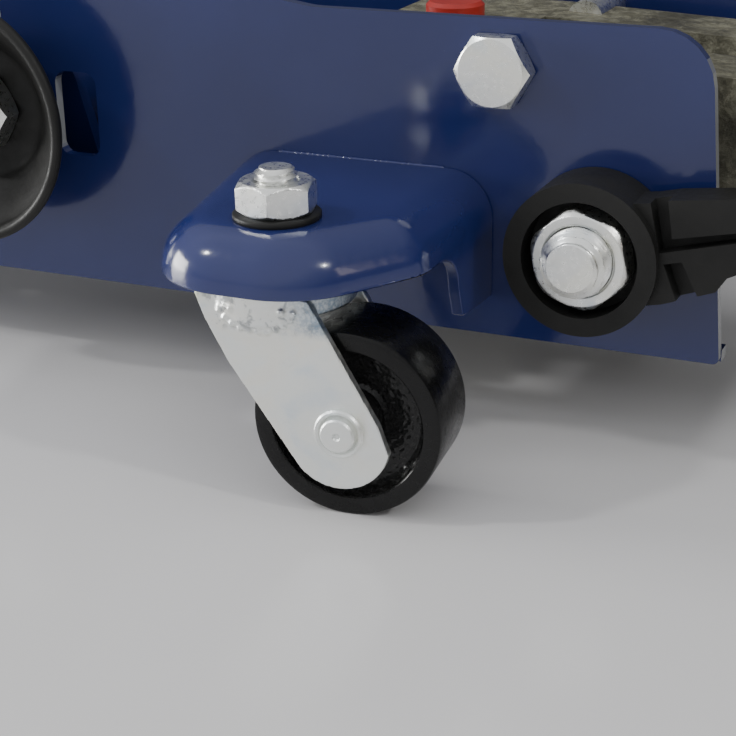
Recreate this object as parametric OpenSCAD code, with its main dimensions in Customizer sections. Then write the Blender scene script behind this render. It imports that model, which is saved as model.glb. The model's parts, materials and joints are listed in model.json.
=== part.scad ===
// Hydraulic trolley jack: two side plates on a front axle and rear casters, a lift arm
// with radius rods that keep the saddle level, a power unit, and a handle in a yoke.
// +X points to the saddle end, +Y to the left side, +Z up; the floor is Z = 0.

/* [Frame] */
// Clear width between the side plates
plate_gap = 90; // [88:1:94]
// Thickness of each side plate
plate_t = 3; // [2.5:0.5:3]
// Height of the plates' straight bottom edge
plate_bottom = 25; // [24:1:26]
// Height of the lift arm's pivot
pivot_z = 72.7; // [71:0.1:74]
// Distance from the lift arm's pivot forward to the front axle
axle_x = 275; // [270:1:290]

/* [Front wheels] */
// Radius of a front wheel
front_wheel_r = 30; // [28:1:32]
// Width of a front wheel
front_wheel_w = 26; // [22:1:30]
// Radius of the front axle
axle_r = 8; // [7:0.5:8]

/* [Lift linkage] */
// Length of the lift arm between its pivots
arm_length = 240; // [230:1:245]
// Slope of the lift arm at rest, below level
arm_drop = 8; // [7:1:9]
// Radius of the lug that the ram pushes
lug_r = 32; // [31:0.5:33]
// Travel of the lift arm
arm_travel = 60; // [50:1:60]
// Height of the radius rods' pins above the arm's pivots
rod_rise = 26; // [26:1:27]

/* [Yoke and handle] */
// Distance from the lift arm's pivot back to the yoke's pivot
yoke_back = 176.5; // [174:0.5:178]
// Height of the yoke's pivot
yoke_z = 53; // [52:1:54]
// Slope of the handle at rest
handle_slope = 40; // [36:1:44]
// Length of the handle beyond the yoke
handle_length = 400; // [360:10:600]
// Radius from the yoke's pivot to the pump roller
roller_reach = 24; // [23:0.5:25]
// Half of the yoke's pumping stroke
half_stroke = 22.5; // [20:0.5:22.5]

/* [Casters] */
// Distance from the lift arm's pivot back to the caster bolt
caster_back = 116; // [114:1:118]
// Distance from the side plate's outer face to the caster bolt
caster_out = 53.7; // [50:0.1:56]
// Radius of a caster wheel
caster_r = 22.8; // [22:0.1:23]
// Trail of the caster wheel behind its bolt
caster_trail = 19.3; // [18.8:0.1:19.5]
// Turn of the casters towards the frame at rest
caster_turn = 6; // [0:1:10]
// Height of the caster bracket's top face
bracket_z = 68; // [67.5:0.5:68.5]

/* [Hidden] */
$fn = 48;

plate_in = plate_gap / 2;
plate_out = plate_in + plate_t;
running = 0.05;              // radial clearance of a shaft in its bore
join = 0.5;                  // overlap that makes welded pieces one solid
side_gap = 0.4;              // side clearance between neighbours that slide past each other
caster_y = plate_out + caster_out;
yoke_x = -yoke_back;
ram_z = pivot_z - lug_r * (1 + cos(arm_travel / 2)) / 2;
lug_x = lug_r * sin(arm_travel / 2);
arm_end_x = arm_length * cos(arm_drop);
arm_end_z = pivot_z - arm_length * sin(arm_drop);
roller_x = yoke_x + roller_reach * sin(half_stroke);
roller_z = yoke_z - roller_reach * cos(half_stroke);
roller_radius = 8;
plunger_front = roller_x + roller_radius + 0.3;
yoke_r = 84;                 // radius from the yoke's pivot to the middle of its cross body
arm_rise = 14;               // slope of the yoke's arms at rest
socket_x = yoke_x - yoke_r * cos(arm_rise);
socket_z = yoke_z + yoke_r * sin(arm_rise);
nose_r = 18;                 // radius of the plates' nose about the front axle
grip_r = 18;
grip_length = 115;
front_x = axle_x + front_wheel_r;
back_x = socket_x - handle_length * cos(handle_slope) - grip_r * sin(handle_slope);
shift_x = -(front_x + back_x) / 2;

// ---- Outline helpers: polygons whose corners are rounded by arcs ----
function unit(v) = v / norm(v);
function near_turn(a) = a > 180 ? a - 360 : a < -180 ? a + 360 : a;
function corner_arc(before, corner, after, r, steps = 6) =
    let (
        u = unit(before - corner),
        w = unit(after - corner),
        half = acos(u * w) / 2,
        centre = corner + unit(u + w) * r / sin(half),
        first = corner + u * r / tan(half) - centre,
        last = corner + w * r / tan(half) - centre,
        start = atan2(first.y, first.x),
        sweep = near_turn(atan2(last.y, last.x) - start)
    )
    [for (i = [0:steps]) centre + r * [cos(start + sweep * i / steps), sin(start + sweep * i / steps)]];
// Each point is [x, y, radius].
function rounded(points) =
    let (n = len(points), xy = [for (p = points) [p.x, p.y]])
    [for (i = [0:n - 1])
        each (points[i].z == 0 ? [xy[i]]
            : corner_arc(xy[(i + n - 1) % n], xy[i], xy[(i + 1) % n], points[i].z))];

// ---- Placing helpers ----
module place() {
    translate([shift_x, 0, 0]) children();
}
module left_or_right(side) {
    if (side > 0) children();
    else mirror([0, 1, 0]) children();
}
module both_sides() {
    children();
    mirror([0, 1, 0]) children();
}
// An outline in X and Z becomes a plate from y0 to y1.
module upright(y0, y1) {
    translate([0, y1, 0]) rotate([90, 0, 0]) linear_extrude(y1 - y0) children();
}
// A cylinder along Y from y0 to y1.
module y_rod(x, z, r, y0, y1) {
    translate([x, y1, z]) rotate([90, 0, 0]) cylinder(r = r, h = y1 - y0);
}
// A cylinder along X from x0 to x1.
module x_rod(y, z, r, x0, x1) {
    translate([x0, y, z]) rotate([0, 90, 0]) cylinder(r = r, h = x1 - x0);
}
// A hexagonal prism along Z with its flats af apart.
module hex(af, h) {
    cylinder(r = af / 2 / cos(30), h = h, $fn = 6);
}
module chamfered_hex(af, h) {
    intersection() {
        hex(af, h);
        rotate_extrude() polygon([
            [0, 0], [af / 2 - 0.3, 0], [af / 2 / cos(30), 1.2],
            [af / 2 / cos(30), h - 1.2], [af / 2 - 0.3, h], [0, h],
        ]);
    }
}
module chamfered_rod(r, h, cut = 1) {
    rotate_extrude() polygon([[0, 0], [r, 0], [r, h - cut], [r - cut, h], [0, h]]);
}
module tube(r_out, r_in, h) {
    difference() {
        cylinder(r = r_out, h = h);
        translate([0, 0, -1]) cylinder(r = r_in, h = h + 2);
    }
}

// ---- Frame ----
tie_x = -150;
tie_z = 94;
tie_r = 5;
cross_x = 92;
yoke_bolt_r = 8.5;
shaft_r = 9;
plate_back = -208;
lip = 4;                     // how far the plates' bottom lips reach inward
lip_front = 170;
slot_x = -34;                // rear end of the slot behind the lift pivot
slot_w = 13;
slot_half_z = 11.7;
module side_plate(side) {
    left_or_right(side) color("#34478c") difference() {
        union() {
            upright(plate_in, plate_out) polygon(rounded([
                [plate_back, plate_bottom, 1.5], [195, plate_bottom, 60],
                [axle_x - 40, front_wheel_r - nose_r, 20],
                [axle_x + nose_r, front_wheel_r - nose_r, nose_r - 0.5],
                [axle_x + nose_r, front_wheel_r + nose_r, nose_r - 0.5],
                [190, 60, 40], [70, 112, 30], [-60, 112, 30], [-100, 106, 30], [-202, 106, 14],
            ]));
            // Turned-in lip along the straight bottom edge
            translate([plate_back, plate_in - lip, plate_bottom])
                cube([lip_front - plate_back, lip + join, plate_t]);
        }
        // Slot behind the lift pivot
        upright(plate_in - 1, plate_out + 1) polygon(rounded([
            [slot_x, pivot_z - slot_half_z, 3.5], [slot_x + slot_w, pivot_z - slot_half_z, 3.5],
            [slot_x + slot_w, pivot_z + slot_half_z, 3.5], [slot_x, pivot_z + slot_half_z, 3.5],
        ]));
        y_rod(axle_x, front_wheel_r, axle_r, 0, 2 * plate_out);
        y_rod(0, pivot_z, shaft_r, 0, 2 * plate_out);
        y_rod(yoke_x, yoke_z, yoke_bolt_r, 0, 2 * plate_out);
        y_rod(tie_x, tie_z, tie_r, 0, 2 * plate_out);
        y_rod(0, pivot_z + rod_rise, anchor_r, 0, 2 * plate_out);
    }
}
// Strap across the bottom of the frame, flanged up against the plates.
module front_cross_plate() {
    color("#34478c") {
        translate([cross_x, -plate_in, plate_bottom + plate_t]) cube([40, plate_gap, 3]);
        for (side = [-1, 1])
            translate([cross_x, side * (plate_in - 1.5) - 1.5, plate_bottom + plate_t]) cube([40, 3, 12]);
    }
}
module tie_bolts() {
    color("silver") both_sides() {
        y_rod(tie_x, tie_z, tie_r, 22, plate_out);
        translate([tie_x, plate_out, tie_z]) rotate([-90, 0, 0]) chamfered_hex(17, 6.4);
    }
}
anchor_r = 5;
rod_in = 37;
rod_out = 41;
module rod_anchor_pins() {
    color("silver") both_sides() {
        y_rod(0, pivot_z + rod_rise, anchor_r, cheek_out + 0.6, plate_out);
        y_rod(0, pivot_z + rod_rise, anchor_r + 2.2, rod_out + side_gap, plate_in);
    }
}

// ---- Front wheels ----
wheel_in = plate_out + 3.2;
wheel_out = wheel_in + front_wheel_w;
module front_axle() {
    color("silver") y_rod(axle_x, front_wheel_r, axle_r, -wheel_out - 6, wheel_out + 6);
}
module axle_washers() {
    color("silver") both_sides() for (y = [plate_out + 0.2, wheel_out + 0.4]) difference() {
        y_rod(axle_x, front_wheel_r, axle_r + 6, y, y + 2.4);
        y_rod(axle_x, front_wheel_r, axle_r + running, y - 1, y + 4);
    }
}
module axle_circlips() {
    color("#333333") both_sides() difference() {
        y_rod(axle_x, front_wheel_r, axle_r + 3, wheel_out + 3, wheel_out + 4.4);
        y_rod(axle_x, front_wheel_r, axle_r, wheel_out + 2, wheel_out + 6);
        translate([axle_x - 3, wheel_out + 2, front_wheel_r - axle_r - 6]) cube([6, 4, 8]);
    }
}
module front_wheel(side) {
    hub_r = axle_r + 6;
    rim_r = front_wheel_r - 6;
    left_or_right(side) color("#1c1c1e")
        translate([axle_x, wheel_out, front_wheel_r]) rotate([90, 0, 0]) rotate_extrude() polygon([
            [axle_r + running, 0], [hub_r, 0], [hub_r, 5], [rim_r, 5], [rim_r + 1, 0],
            [front_wheel_r - 2.5, 0], [front_wheel_r, 2.5], [front_wheel_r, front_wheel_w - 2.5],
            [front_wheel_r - 2.5, front_wheel_w], [rim_r + 1, front_wheel_w],
            [rim_r, front_wheel_w - 5], [hub_r, front_wheel_w - 5],
            [hub_r, front_wheel_w], [axle_r + running, front_wheel_w],
        ]);
}

// ---- Lift pivot ----
cup_r = 34.2;
cup_depth = 20;
cup_base_r = 20;
cup_floor = 3;
stub_r = 6;                  // the pivot shaft's threaded end
module pivot_cup(side) {
    left_or_right(side) color("#1b1b1d")
        translate([0, plate_out, pivot_z]) rotate([-90, 0, 0]) rotate_extrude() polygon([
            [stub_r, 0], [cup_base_r, 0], [cup_base_r + 3, 5], [cup_r - 5, 13], [cup_r - 0.5, cup_depth - 3],
            [cup_r, cup_depth - 1.5], [cup_r - 1, cup_depth], [cup_r - 3.4, cup_depth - 2.4],
            [cup_r - 4, cup_depth - 4], [cup_r - 8, 13], [cup_base_r, 6], [cup_base_r - 3, cup_floor],
            [stub_r, cup_floor],
        ]);
}
module pivot_shaft() {
    color("silver") both_sides() translate([0, -0.01, pivot_z]) rotate([-90, 0, 0]) {
        cylinder(r = shaft_r, h = plate_out);
        chamfered_rod(stub_r, plate_out + cup_floor + 11);
    }
}
module pivot_nuts() {
    color("silver") both_sides() translate([0, plate_out + cup_floor, pivot_z]) rotate([-90, 0, 0])
        difference() {
            chamfered_hex(19, 8);
            translate([0, 0, -1]) cylinder(r = stub_r, h = 10);
        }
}

// ---- Caster brackets and casters, drawn about the caster bolt with the trail along -X ----
sheet = 3;
edge_roll = 12;              // radius of the bracket's rolled edge
flange = 13;
skirt_x = 33;
skirt_bottom = 36;
skirt_out = -30;
kingpin_r = 5;
nut_seat = bracket_z + 1.5;
// Corners of the bracket's plan as [x, y, radius]; it runs on past the plate at y = -caster_out.
BRACKET_PLAN = [
    [24.8, 20.8, 23], [-15, 20.8, 22], [-skirt_x, -8, 14], [-skirt_x, -95, 0], [48.5, -95, 0],
];
// The corner of a convex outline, moved in from both of its sides by a distance.
function inset_corner(before, corner, after, distance) =
    let (
        u = unit([before.x - corner.x, before.y - corner.y]),
        w = unit([after.x - corner.x, after.y - corner.y]),
        moved = (u + w) * distance / sin(acos(u * w))
    )
    [corner.x + moved.x, corner.y + moved.y, max(corner.z - distance, 0)];
module bracket_plan(inset) {
    n = len(BRACKET_PLAN);
    p = BRACKET_PLAN;
    intersection() {
        polygon(rounded([for (i = [0:n - 1]) inset_corner(p[(i + n - 1) % n], p[i], p[(i + 1) % n], inset)]));
        translate([-100, -caster_out]) square([200, 100]);
    }
}
// Height of the rolled edge above its lowest line, at a distance in from the outline.
function roll_height(inset) = sqrt(edge_roll * edge_roll - (edge_roll - inset) * (edge_roll - inset));
ROLL_INSETS = [0, 1.2, 3.2, 6];
// The bracket's outer form in slices that step in along the rolled edge, made smaller by a distance.
module bracket_form(less) {
    base_z = bracket_z - flange - (less > 0 ? 1 : 0);
    for (i = [0:len(ROLL_INSETS) - 1])
        translate([0, 0, base_z])
            linear_extrude(bracket_z - less - base_z - (i == len(ROLL_INSETS) - 1 ? 0
                : edge_roll - roll_height(ROLL_INSETS[i + 1])))
            bracket_plan(ROLL_INSETS[i] + less);
}
module bracket_body() {
    difference() {
        bracket_form(0);
        bracket_form(sheet);
        translate([0, 0, bracket_z - 20]) cylinder(r = kingpin_r, h = 40);
    }
    // Skirt below the rolled rear edge, with a slanted outer end
    difference() {
        translate([-skirt_x, -caster_out, skirt_bottom])
            cube([sheet, caster_out + skirt_out, bracket_z - flange - skirt_bottom + join]);
        translate([-skirt_x - 1, skirt_out, bracket_z - flange - 2]) rotate([-20, 0, 0])
            translate([0, 0, -30]) cube([sheet + 2, 30, 30]);
    }
}
module caster_bracket(side) {
    left_or_right(side) color("#34478c") translate([-caster_back, caster_y, 0]) bracket_body();
}
module at_casters() {
    both_sides() translate([-caster_back, caster_y, 0]) children();
}
module at_caster(side) {
    left_or_right(side) translate([-caster_back, caster_y, 0]) rotate([0, 0, caster_turn]) children();
}
crown_z = 54.5;
crown_t = 2.5;
leg_in = 12.8;
leg_out = 15.3;
rivet_r = 4;
module caster_bolts() {
    color("silver") at_casters() {
        translate([0, 0, crown_z - 5.3]) cylinder(r = 8, h = 5);
        translate([0, 0, crown_z - 5.3]) chamfered_rod(kingpin_r, 80 - crown_z + 5.3, 1.2);
    }
}
module caster_nuts() {
    color("silver") at_casters() translate([0, 0, nut_seat]) rotate([0, 0, 13.8]) difference() {
        chamfered_hex(17, 7.5);
        translate([0, 0, -1]) cylinder(r = kingpin_r, h = 10);
    }
}
module caster_washers() {
    color("#222222") at_casters() translate([0, 0, bracket_z]) tube(10.3, kingpin_r, 1.5);
}
module caster_races() {
    race_z = crown_z + crown_t + 0.3;
    color("silver") at_casters() translate([0, 0, race_z])
        tube(11.2, kingpin_r, bracket_z - sheet - race_z);
}
module caster_leg_outline() {
    translate([-caster_trail, caster_r]) circle(r = 12.3);
    polygon([
        [9.2, crown_z + crown_t], [9.2, crown_z - 0.5], [15.5, crown_z - 1.1], [13, 49], [-7.4, 17.4],
        [-29.6, 28], [-13.5, 51.4], [-12.5, crown_z - 1.1], [-9.2, crown_z - 0.5],
        [-9.2, crown_z + crown_t],
    ]);
}
module caster_fork(side) {
    at_caster(side) color("#b9bec6") difference() {
        union() {
            translate([0, 0, crown_z]) intersection() {
                cylinder(r = 16, h = crown_t);
                translate([-20, -leg_out, 0]) cube([40, 2 * leg_out, crown_t]);
            }
            for (y = [leg_in, -leg_out]) upright(y, y + leg_out - leg_in) caster_leg_outline();
        }
        translate([0, 0, crown_z - 10]) cylinder(r = kingpin_r + running, h = 20);
        y_rod(-caster_trail, caster_r, rivet_r, -20, 20);
    }
}
module caster_rivet(side) {
    at_caster(side) color("silver") {
        y_rod(-caster_trail, caster_r, rivet_r, -leg_out - 3, leg_out + 3);
        for (y = [leg_out, -leg_out - 1.6]) y_rod(-caster_trail, caster_r, 5.9, y, y + 1.6);
    }
}
module caster_wheel(side) {
    half = 11;
    hub_r = 8;
    proud = leg_in - side_gap - half;
    recess_r = 18.3;
    at_caster(side) color("#141415")
        translate([-caster_trail, half, caster_r]) rotate([90, 0, 0]) rotate_extrude() polygon([
            [rivet_r + running, -proud], [hub_r, -proud], [hub_r, 5], [recess_r - 0.8, 5], [recess_r, 0],
            [caster_r - 0.9, 0], [caster_r, 0.9], [caster_r, 2 * half - 0.9], [caster_r - 0.9, 2 * half],
            [recess_r, 2 * half], [recess_r - 0.8, 2 * half - 5],
            [hub_r, 2 * half - 5], [hub_r, 2 * half + proud], [rivet_r + running, 2 * half + proud],
        ]);
}

// ---- Power unit ----
block_back = -142;
block_front = -100;
block_bottom = 22;
block_top = 96;
ram_r = 12;
bore_r = ram_r + running;
cylinder_r = 17;
reservoir_r = 25;
reservoir_front = -46;
plunger_r = 7;
counterbore_r = 11.2;
pump_depth = 36;
overhang_back = -226;
slot_half = 11;
module pump_block() {
    color("#6a6a5c") difference() {
        union() {
            translate([block_back, -36, block_bottom])
                cube([block_front - block_back, 72, block_top - block_bottom]);
            // Keel under the plunger's bore
            translate([block_back, -14, 16]) cube([block_front - block_back, 28, block_bottom - 16 + join]);
            // Rear cheeks carry the yoke bolts and the release valve.
            for (y = [slot_half, -36])
                upright(y, y + 36 - slot_half) polygon(rounded([
                    [block_back + 1, 40, 0], [-192, 40, 6], [-192, 64, 4], [overhang_back, 64, 4],
                    [overhang_back, 92, 8], [block_back + 1, 96, 0],
                ]));
            both_sides() y_rod(yoke_x, yoke_z, 13, 36, plate_in);
            both_sides() y_rod(tie_x, tie_z - 11, 9, 36, 36.5);
        }
        both_sides() y_rod(yoke_x, yoke_z, yoke_bolt_r, 15, 60);
        both_sides() y_rod(tie_x, tie_z, tie_r, 22, 60);
        x_rod(0, roller_z, plunger_r + running, block_back - 1, block_back + pump_depth);
        x_rod(0, roller_z, counterbore_r, block_back - 1, block_back + 24);
        x_rod(0, ram_z, cylinder_r, block_front - 6, block_front + 1);
        x_rod(valve_y, valve_z, 5, overhang_back - 1, overhang_back + 30);
        translate([-120, 0, 90]) cylinder(r = 5, h = 10);
        translate([-120, 22, 90]) cylinder(r = 4, h = 10);
        // Ball seats in the oil ways
        for (y = [-16, 16]) translate([-110, y, 60]) cylinder(r = 3.2, h = 12);
    }
}
valve_y = 23;
valve_z = 80;
module x_tube(z, r_out, r_in, x0, x1) {
    difference() {
        x_rod(0, z, r_out, x0, x1);
        x_rod(0, z, r_in, x0 - 1, x1 + 1);
    }
}
module reservoir() {
    color("#34478c") {
        x_tube(ram_z, reservoir_r, reservoir_r - 2.5, block_front, reservoir_front);
        x_tube(ram_z, reservoir_r - 2.5, cylinder_r, reservoir_front - 6, reservoir_front);
    }
}
module ram_cylinder() {
    color("silver") difference() {
        x_rod(0, ram_z, cylinder_r, block_front - 6, reservoir_front + 3);
        x_rod(0, ram_z, bore_r, block_front - 2, reservoir_front + 4);
    }
}
module gland_ring() {
    color("#2a2a2a") x_tube(ram_z, cylinder_r, bore_r, reservoir_front + 3, reservoir_front + 7);
}
head_back = -lug_x - 21;
module ram() {
    color("#d8dade") x_rod(0, ram_z, ram_r, block_front, head_back);
}
cross_pin_r = 6;
slot_rise = lug_r * (1 - cos(arm_travel / 2)) / 2 + 0.6;
head_half = 12.5;
module ram_head() {
    color("#4a4a4c") difference() {
        translate([head_back, -14, ram_z - head_half]) cube([33, 28, 2 * head_half]);
        upright(-20, 20) for (dz = [-slot_rise, slot_rise])
            translate([-lug_x, ram_z + dz]) circle(r = cross_pin_r + 0.6);
        upright(-20, 20) translate([-lug_x - cross_pin_r - 0.6, ram_z - slot_rise])
            square([2 * (cross_pin_r + 0.6), 2 * slot_rise]);
        y_rod(bar_x, ram_z, bar_r, -20, 20);
    }
}
bar_x = -lug_x - 16;
bar_r = 2.5;
spring_y = 29;
module spring_bar() {
    color("silver") y_rod(bar_x, ram_z, bar_r, -spring_y - 1.2, spring_y + 1.2);
}
anchor_x = block_front + 4;
module return_springs() {
    color("#8d9096") both_sides() difference() {
        x_rod(spring_y, ram_z, 3.6, anchor_x + 3.4, bar_x - 3);
        x_rod(spring_y, ram_z, 2.5, anchor_x, bar_x);
    }
}
module spring_anchors() {
    color("silver") both_sides() {
        x_rod(spring_y, ram_z, 2.5, block_front, anchor_x + 3);
        x_rod(spring_y, ram_z, 3.6, block_front, block_front + 2);
    }
}
module pump_plunger() {
    tail_x = block_back + pump_depth - 3;
    color("#d8dade") {
        x_rod(0, roller_z, plunger_r, plunger_front, tail_x);
        x_rod(0, roller_z, 10, plunger_front, plunger_front + 3.5);
    }
}
module plunger_spring() {
    color("#8d9096") x_tube(roller_z, 9.8, 7.6, plunger_front + 3.6, block_back + 23);
}
module plunger_gland() {
    color("#b08a45") x_tube(roller_z, counterbore_r, plunger_r + running, block_back + 23.5, block_back + 24);
}
module check_balls() {
    color("silver") for (y = [-16, 16]) translate([-110, y, 64]) sphere(r = 3);
}
module filler_plug() {
    color("#9a2020") {
        translate([-120, 0, 91]) cylinder(r = 5, h = 5);
        translate([-120, 0, 96]) chamfered_rod(8, 5);
    }
}
module overload_cap() {
    color("silver") {
        translate([-120, 22, 91]) cylinder(r = 4, h = 5);
        translate([-120, 22, 96]) hex(11, 4);
    }
}
module release_valve() {
    color("silver") {
        x_rod(valve_y, valve_z, 5 - running, overhang_back, overhang_back + 24);
        x_rod(valve_y, valve_z, 5 - running, overhang_back - 1, overhang_back);
        x_rod(valve_y, valve_z, 7, overhang_back - 7, overhang_back - 0.3);
        translate([overhang_back - 12, valve_y - 2, valve_z - 6]) cube([5.1, 4, 12]);
    }
}

// ---- Lift linkage ----
cheek_in = 31;
cheek_out = 35;
pin_r = 6;
bush_r = 13;
module arm_cheek_outline() {
    difference() {
        union() {
            rotate(-arm_drop) {
                circle(r = 20);
                translate([arm_length, 0]) circle(r = 16);
                polygon([[-3, 19.8], [30, 19], [arm_length - 30, 18], [arm_length, 16], [arm_length, -16],
                    [arm_length - 40, -17], [30, -19], [0, -20]]);
            }
            translate([-lug_x, -lug_r * cos(arm_travel / 2)]) circle(r = 12);
            polygon([[-19, 6], [-lug_x - 11.5, -lug_r * cos(arm_travel / 2) + 3],
                [-lug_x + 8, -lug_r * cos(arm_travel / 2) - 8.5], [16, -14]]);
        }
        circle(r = bush_r);
        translate([-lug_x, -lug_r * cos(arm_travel / 2)]) circle(r = cross_pin_r);
        rotate(-arm_drop) translate([arm_length, 0]) circle(r = pin_r + running);
    }
}
module lift_arm() {
    color("#34478c") translate([0, 0, pivot_z]) {
        for (y = [cheek_in, -cheek_out]) upright(y, y + cheek_out - cheek_in) arm_cheek_outline();
        rotate([0, arm_drop, 0]) translate([28, -cheek_in - join, 14])
            cube([arm_length - 28 - 36, 2 * (cheek_in + join), 4]);
        // Hub tube joins the cheeks about the pivot.
        translate([0, cheek_in + join, 0]) rotate([90, 0, 0])
            tube(16, bush_r, 2 * (cheek_in + join));
    }
}
module arm_bushes() {
    color("#b08a45") both_sides() translate([0, cheek_out, pivot_z]) rotate([90, 0, 0])
        tube(bush_r, shaft_r + running, 18);
}
module arm_cross_pin() {
    pin_z = pivot_z - lug_r * cos(arm_travel / 2);
    color("silver") y_rod(-lug_x, pin_z, cross_pin_r, -cheek_out - 1, cheek_out + 1);
}
rod_slack = 0.6;
module radius_rod(side) {
    left_or_right(side) color("#34478c") difference() {
        translate([0, 0, pivot_z + rod_rise]) upright(rod_in, rod_out) rotate(-arm_drop) {
            circle(r = 10);
            translate([arm_length, 0]) circle(r = 10);
            translate([0, -6.5]) square([arm_length, 13]);
        }
        y_rod(0, pivot_z + rod_rise, anchor_r + running, 0, 60);
        y_rod(arm_end_x, arm_end_z + rod_rise, front_pin_r + rod_slack, 0, 60);
    }
}
front_pin_r = 4.5;
saddle_cheek_in = 25.6;
saddle_cheek_out = 29.6;
seat_z = arm_end_z + 56;
stud_r = 8;
module saddle_bracket() {
    color("#34478c") {
        difference() {
            for (y = [saddle_cheek_in, -saddle_cheek_out])
                upright(y, y + saddle_cheek_out - saddle_cheek_in) {
                    translate([arm_end_x, arm_end_z]) circle(r = 13);
                    polygon([
                        [arm_end_x - 13, arm_end_z], [arm_end_x + 13, arm_end_z],
                        [arm_end_x + 24, arm_end_z + 44], [arm_end_x + 24, seat_z - 5],
                        [arm_end_x - 24, seat_z - 5], [arm_end_x - 24, arm_end_z + 44],
                    ]);
                }
            y_rod(arm_end_x, arm_end_z, pin_r, -50, 50);
            y_rod(arm_end_x, arm_end_z + rod_rise, front_pin_r, -50, 50);
        }
        difference() {
            translate([arm_end_x - 26, -saddle_cheek_out, seat_z - 5]) cube([52, 2 * saddle_cheek_out, 5]);
            translate([arm_end_x, 0, seat_z - 10]) cylinder(r = stud_r + running, h = 20);
        }
    }
}
module saddle_pivot_pin() {
    color("silver") {
        y_rod(arm_end_x, arm_end_z, pin_r, -cheek_out - 4, cheek_out + 4);
        for (y = [cheek_out + 0.5, -cheek_out - 2.5]) y_rod(arm_end_x, arm_end_z, pin_r + 2.5, y, y + 2);
    }
}
module rod_front_pin() {
    color("silver") {
        y_rod(arm_end_x, arm_end_z + rod_rise, front_pin_r, -rod_out - 2.6, rod_out + 2.6);
        for (y = [rod_out + 0.6, -rod_out - 2.1])
            y_rod(arm_end_x, arm_end_z + rod_rise, front_pin_r + 2.5, y, y + 1.5);
    }
}
saddle_r = 38;
module saddle() {
    color("#3a3a3c") translate([arm_end_x, 0, seat_z + 0.3]) difference() {
        rotate_extrude() polygon([
            [0, -14], [stud_r, -14], [stud_r, 0], [saddle_r - 8, 0], [saddle_r, 7], [saddle_r, 17],
            [saddle_r - 5, 17], [saddle_r - 6, 10], [0, 10],
        ]);
        for (a = [0:60:300]) rotate([0, 0, a + 30]) translate([saddle_r - 10, -5, 11]) cube([14, 10, 10]);
    }
}
module saddle_pad() {
    color("#151515") translate([arm_end_x, 0, seat_z + 10.3]) rotate_extrude() polygon([
        [0, 0], [saddle_r - 6.6, 0], [saddle_r - 7, 5], [saddle_r - 9, 7.5], [12, 7.5], [10, 5], [0, 5],
    ]);
}

// ---- Yoke and handle ----
yoke_in = plate_out + side_gap;
yoke_out = plate_out + 16.5;
arm_face = yoke_out - 2.5;   // outer face of the arms, below the ring's
arm_groove = 4.5;
ring_r = 19;
recess_r = 14.4;
socket_r = 20;
tube_r = 14;
module yoke_frame() {
    // Level in its own frame, then tilted up by the rest slope about the pivot.
    translate([yoke_x, 0, yoke_z]) rotate([0, arm_rise, 0]) children();
}
module arm_outline() {
    polygon([
        [0, 13], [-19, 11], [-24.5, 10.9], [-39, 9], [-yoke_r, 11],
        [-yoke_r, -10], [-36.5, -8.6], [-33.8, -9.2], [-30.5, -12.2], [-17, -13.6], [0, -13],
    ]);
}
module yoke_arm() {
    difference() {
        union() {
            yoke_frame() {
                y_rod(0, 0, ring_r, yoke_in, yoke_out);
                upright(yoke_in + 2.6, arm_face) arm_outline();
            }
        }
        // Groove down behind the ring and back along the middle of the arm
        yoke_frame() upright(arm_face - arm_groove, arm_face + 1)
            polygon([[-19.6, 14], [-24, 14], [-22.8, 1.8], [-66, 0], [-66, -1.2], [-19, -1.2]]);
        // Pocket between the ring's neck and the lower edge
        yoke_frame() upright(arm_face - arm_groove, arm_face + 1)
            polygon([[-19.6, -4], [-24, -4], [-26.4, -14], [-21, -15]]);
        y_rod(yoke_x, yoke_z, yoke_bolt_r + running, 0, 100);
        y_rod(yoke_x, yoke_z, recess_r, yoke_out - 8, 100);
    }
}
module along_handle(distance) {
    translate([socket_x, 0, socket_z]) rotate([0, -90 + handle_slope, 0])
        translate([0, 0, distance]) children();
}
module handle_yoke() {
    color("#1d1d1f") difference() {
        union() {
            both_sides() yoke_arm();
            // Cross body
            yoke_frame() upright(-yoke_out, yoke_out) polygon(rounded([
                [-yoke_r + 8, -13, 3], [-yoke_r + 8, 13, 3], [-yoke_r - 14, 13, 6], [-yoke_r - 14, -13, 6],
            ]));
            along_handle(-2) cylinder(r = socket_r, h = 92);
            // Lever from the cross body down to the pump roller, forked about it
            upright(-9, 9) polygon([
                [roller_x, roller_z + 6.9], [roller_x - 3, roller_z - 6], [socket_x + 8, socket_z - 22],
                [socket_x + 2, socket_z - 2], [socket_x + 22, socket_z - 8],
            ]);
            y_rod(roller_x, roller_z, 7, -9, 9);
        }
        along_handle(4) cylinder(r = tube_r + 0.03, h = 100);
        y_rod(roller_x, roller_z, 9.5, -4.6, 4.6);
        translate([roller_x, -4.6, roller_z - 9.5]) cube([12, 9.2, 30]);
        y_rod(roller_x, roller_z, roller_pin_r + running, -20, 20);
        along_handle(60) rotate([0, 90, 0]) translate([0, 0, -40]) cylinder(r = 4, h = 40);
    }
}
roller_pin_r = 2.5;
module yoke_bolts() {
    color("silver") both_sides() translate([yoke_x, 16, yoke_z]) rotate([-90, 0, 0])
        chamfered_rod(yoke_bolt_r, plate_out + 23 - 16, 2);
}
module yoke_nuts() {
    color("silver") both_sides() translate([yoke_x, yoke_out - 7.6, yoke_z]) rotate([-90, 0, 0])
        rotate([0, 0, 12]) difference() {
            intersection() {
                hex(23.5, 8.2);
                cylinder(r = 12.9, h = 8.2);
            }
            translate([0, 0, -1]) cylinder(r = yoke_bolt_r, h = 11);
        }
}
module pump_roller() {
    color("silver") {
        y_rod(roller_x, roller_z, roller_radius, -4.3, 4.3);
        y_rod(roller_x, roller_z, roller_pin_r, -10, 10);
    }
}
joint_at = 215;              // where the upper tube slides over the lower one
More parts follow.
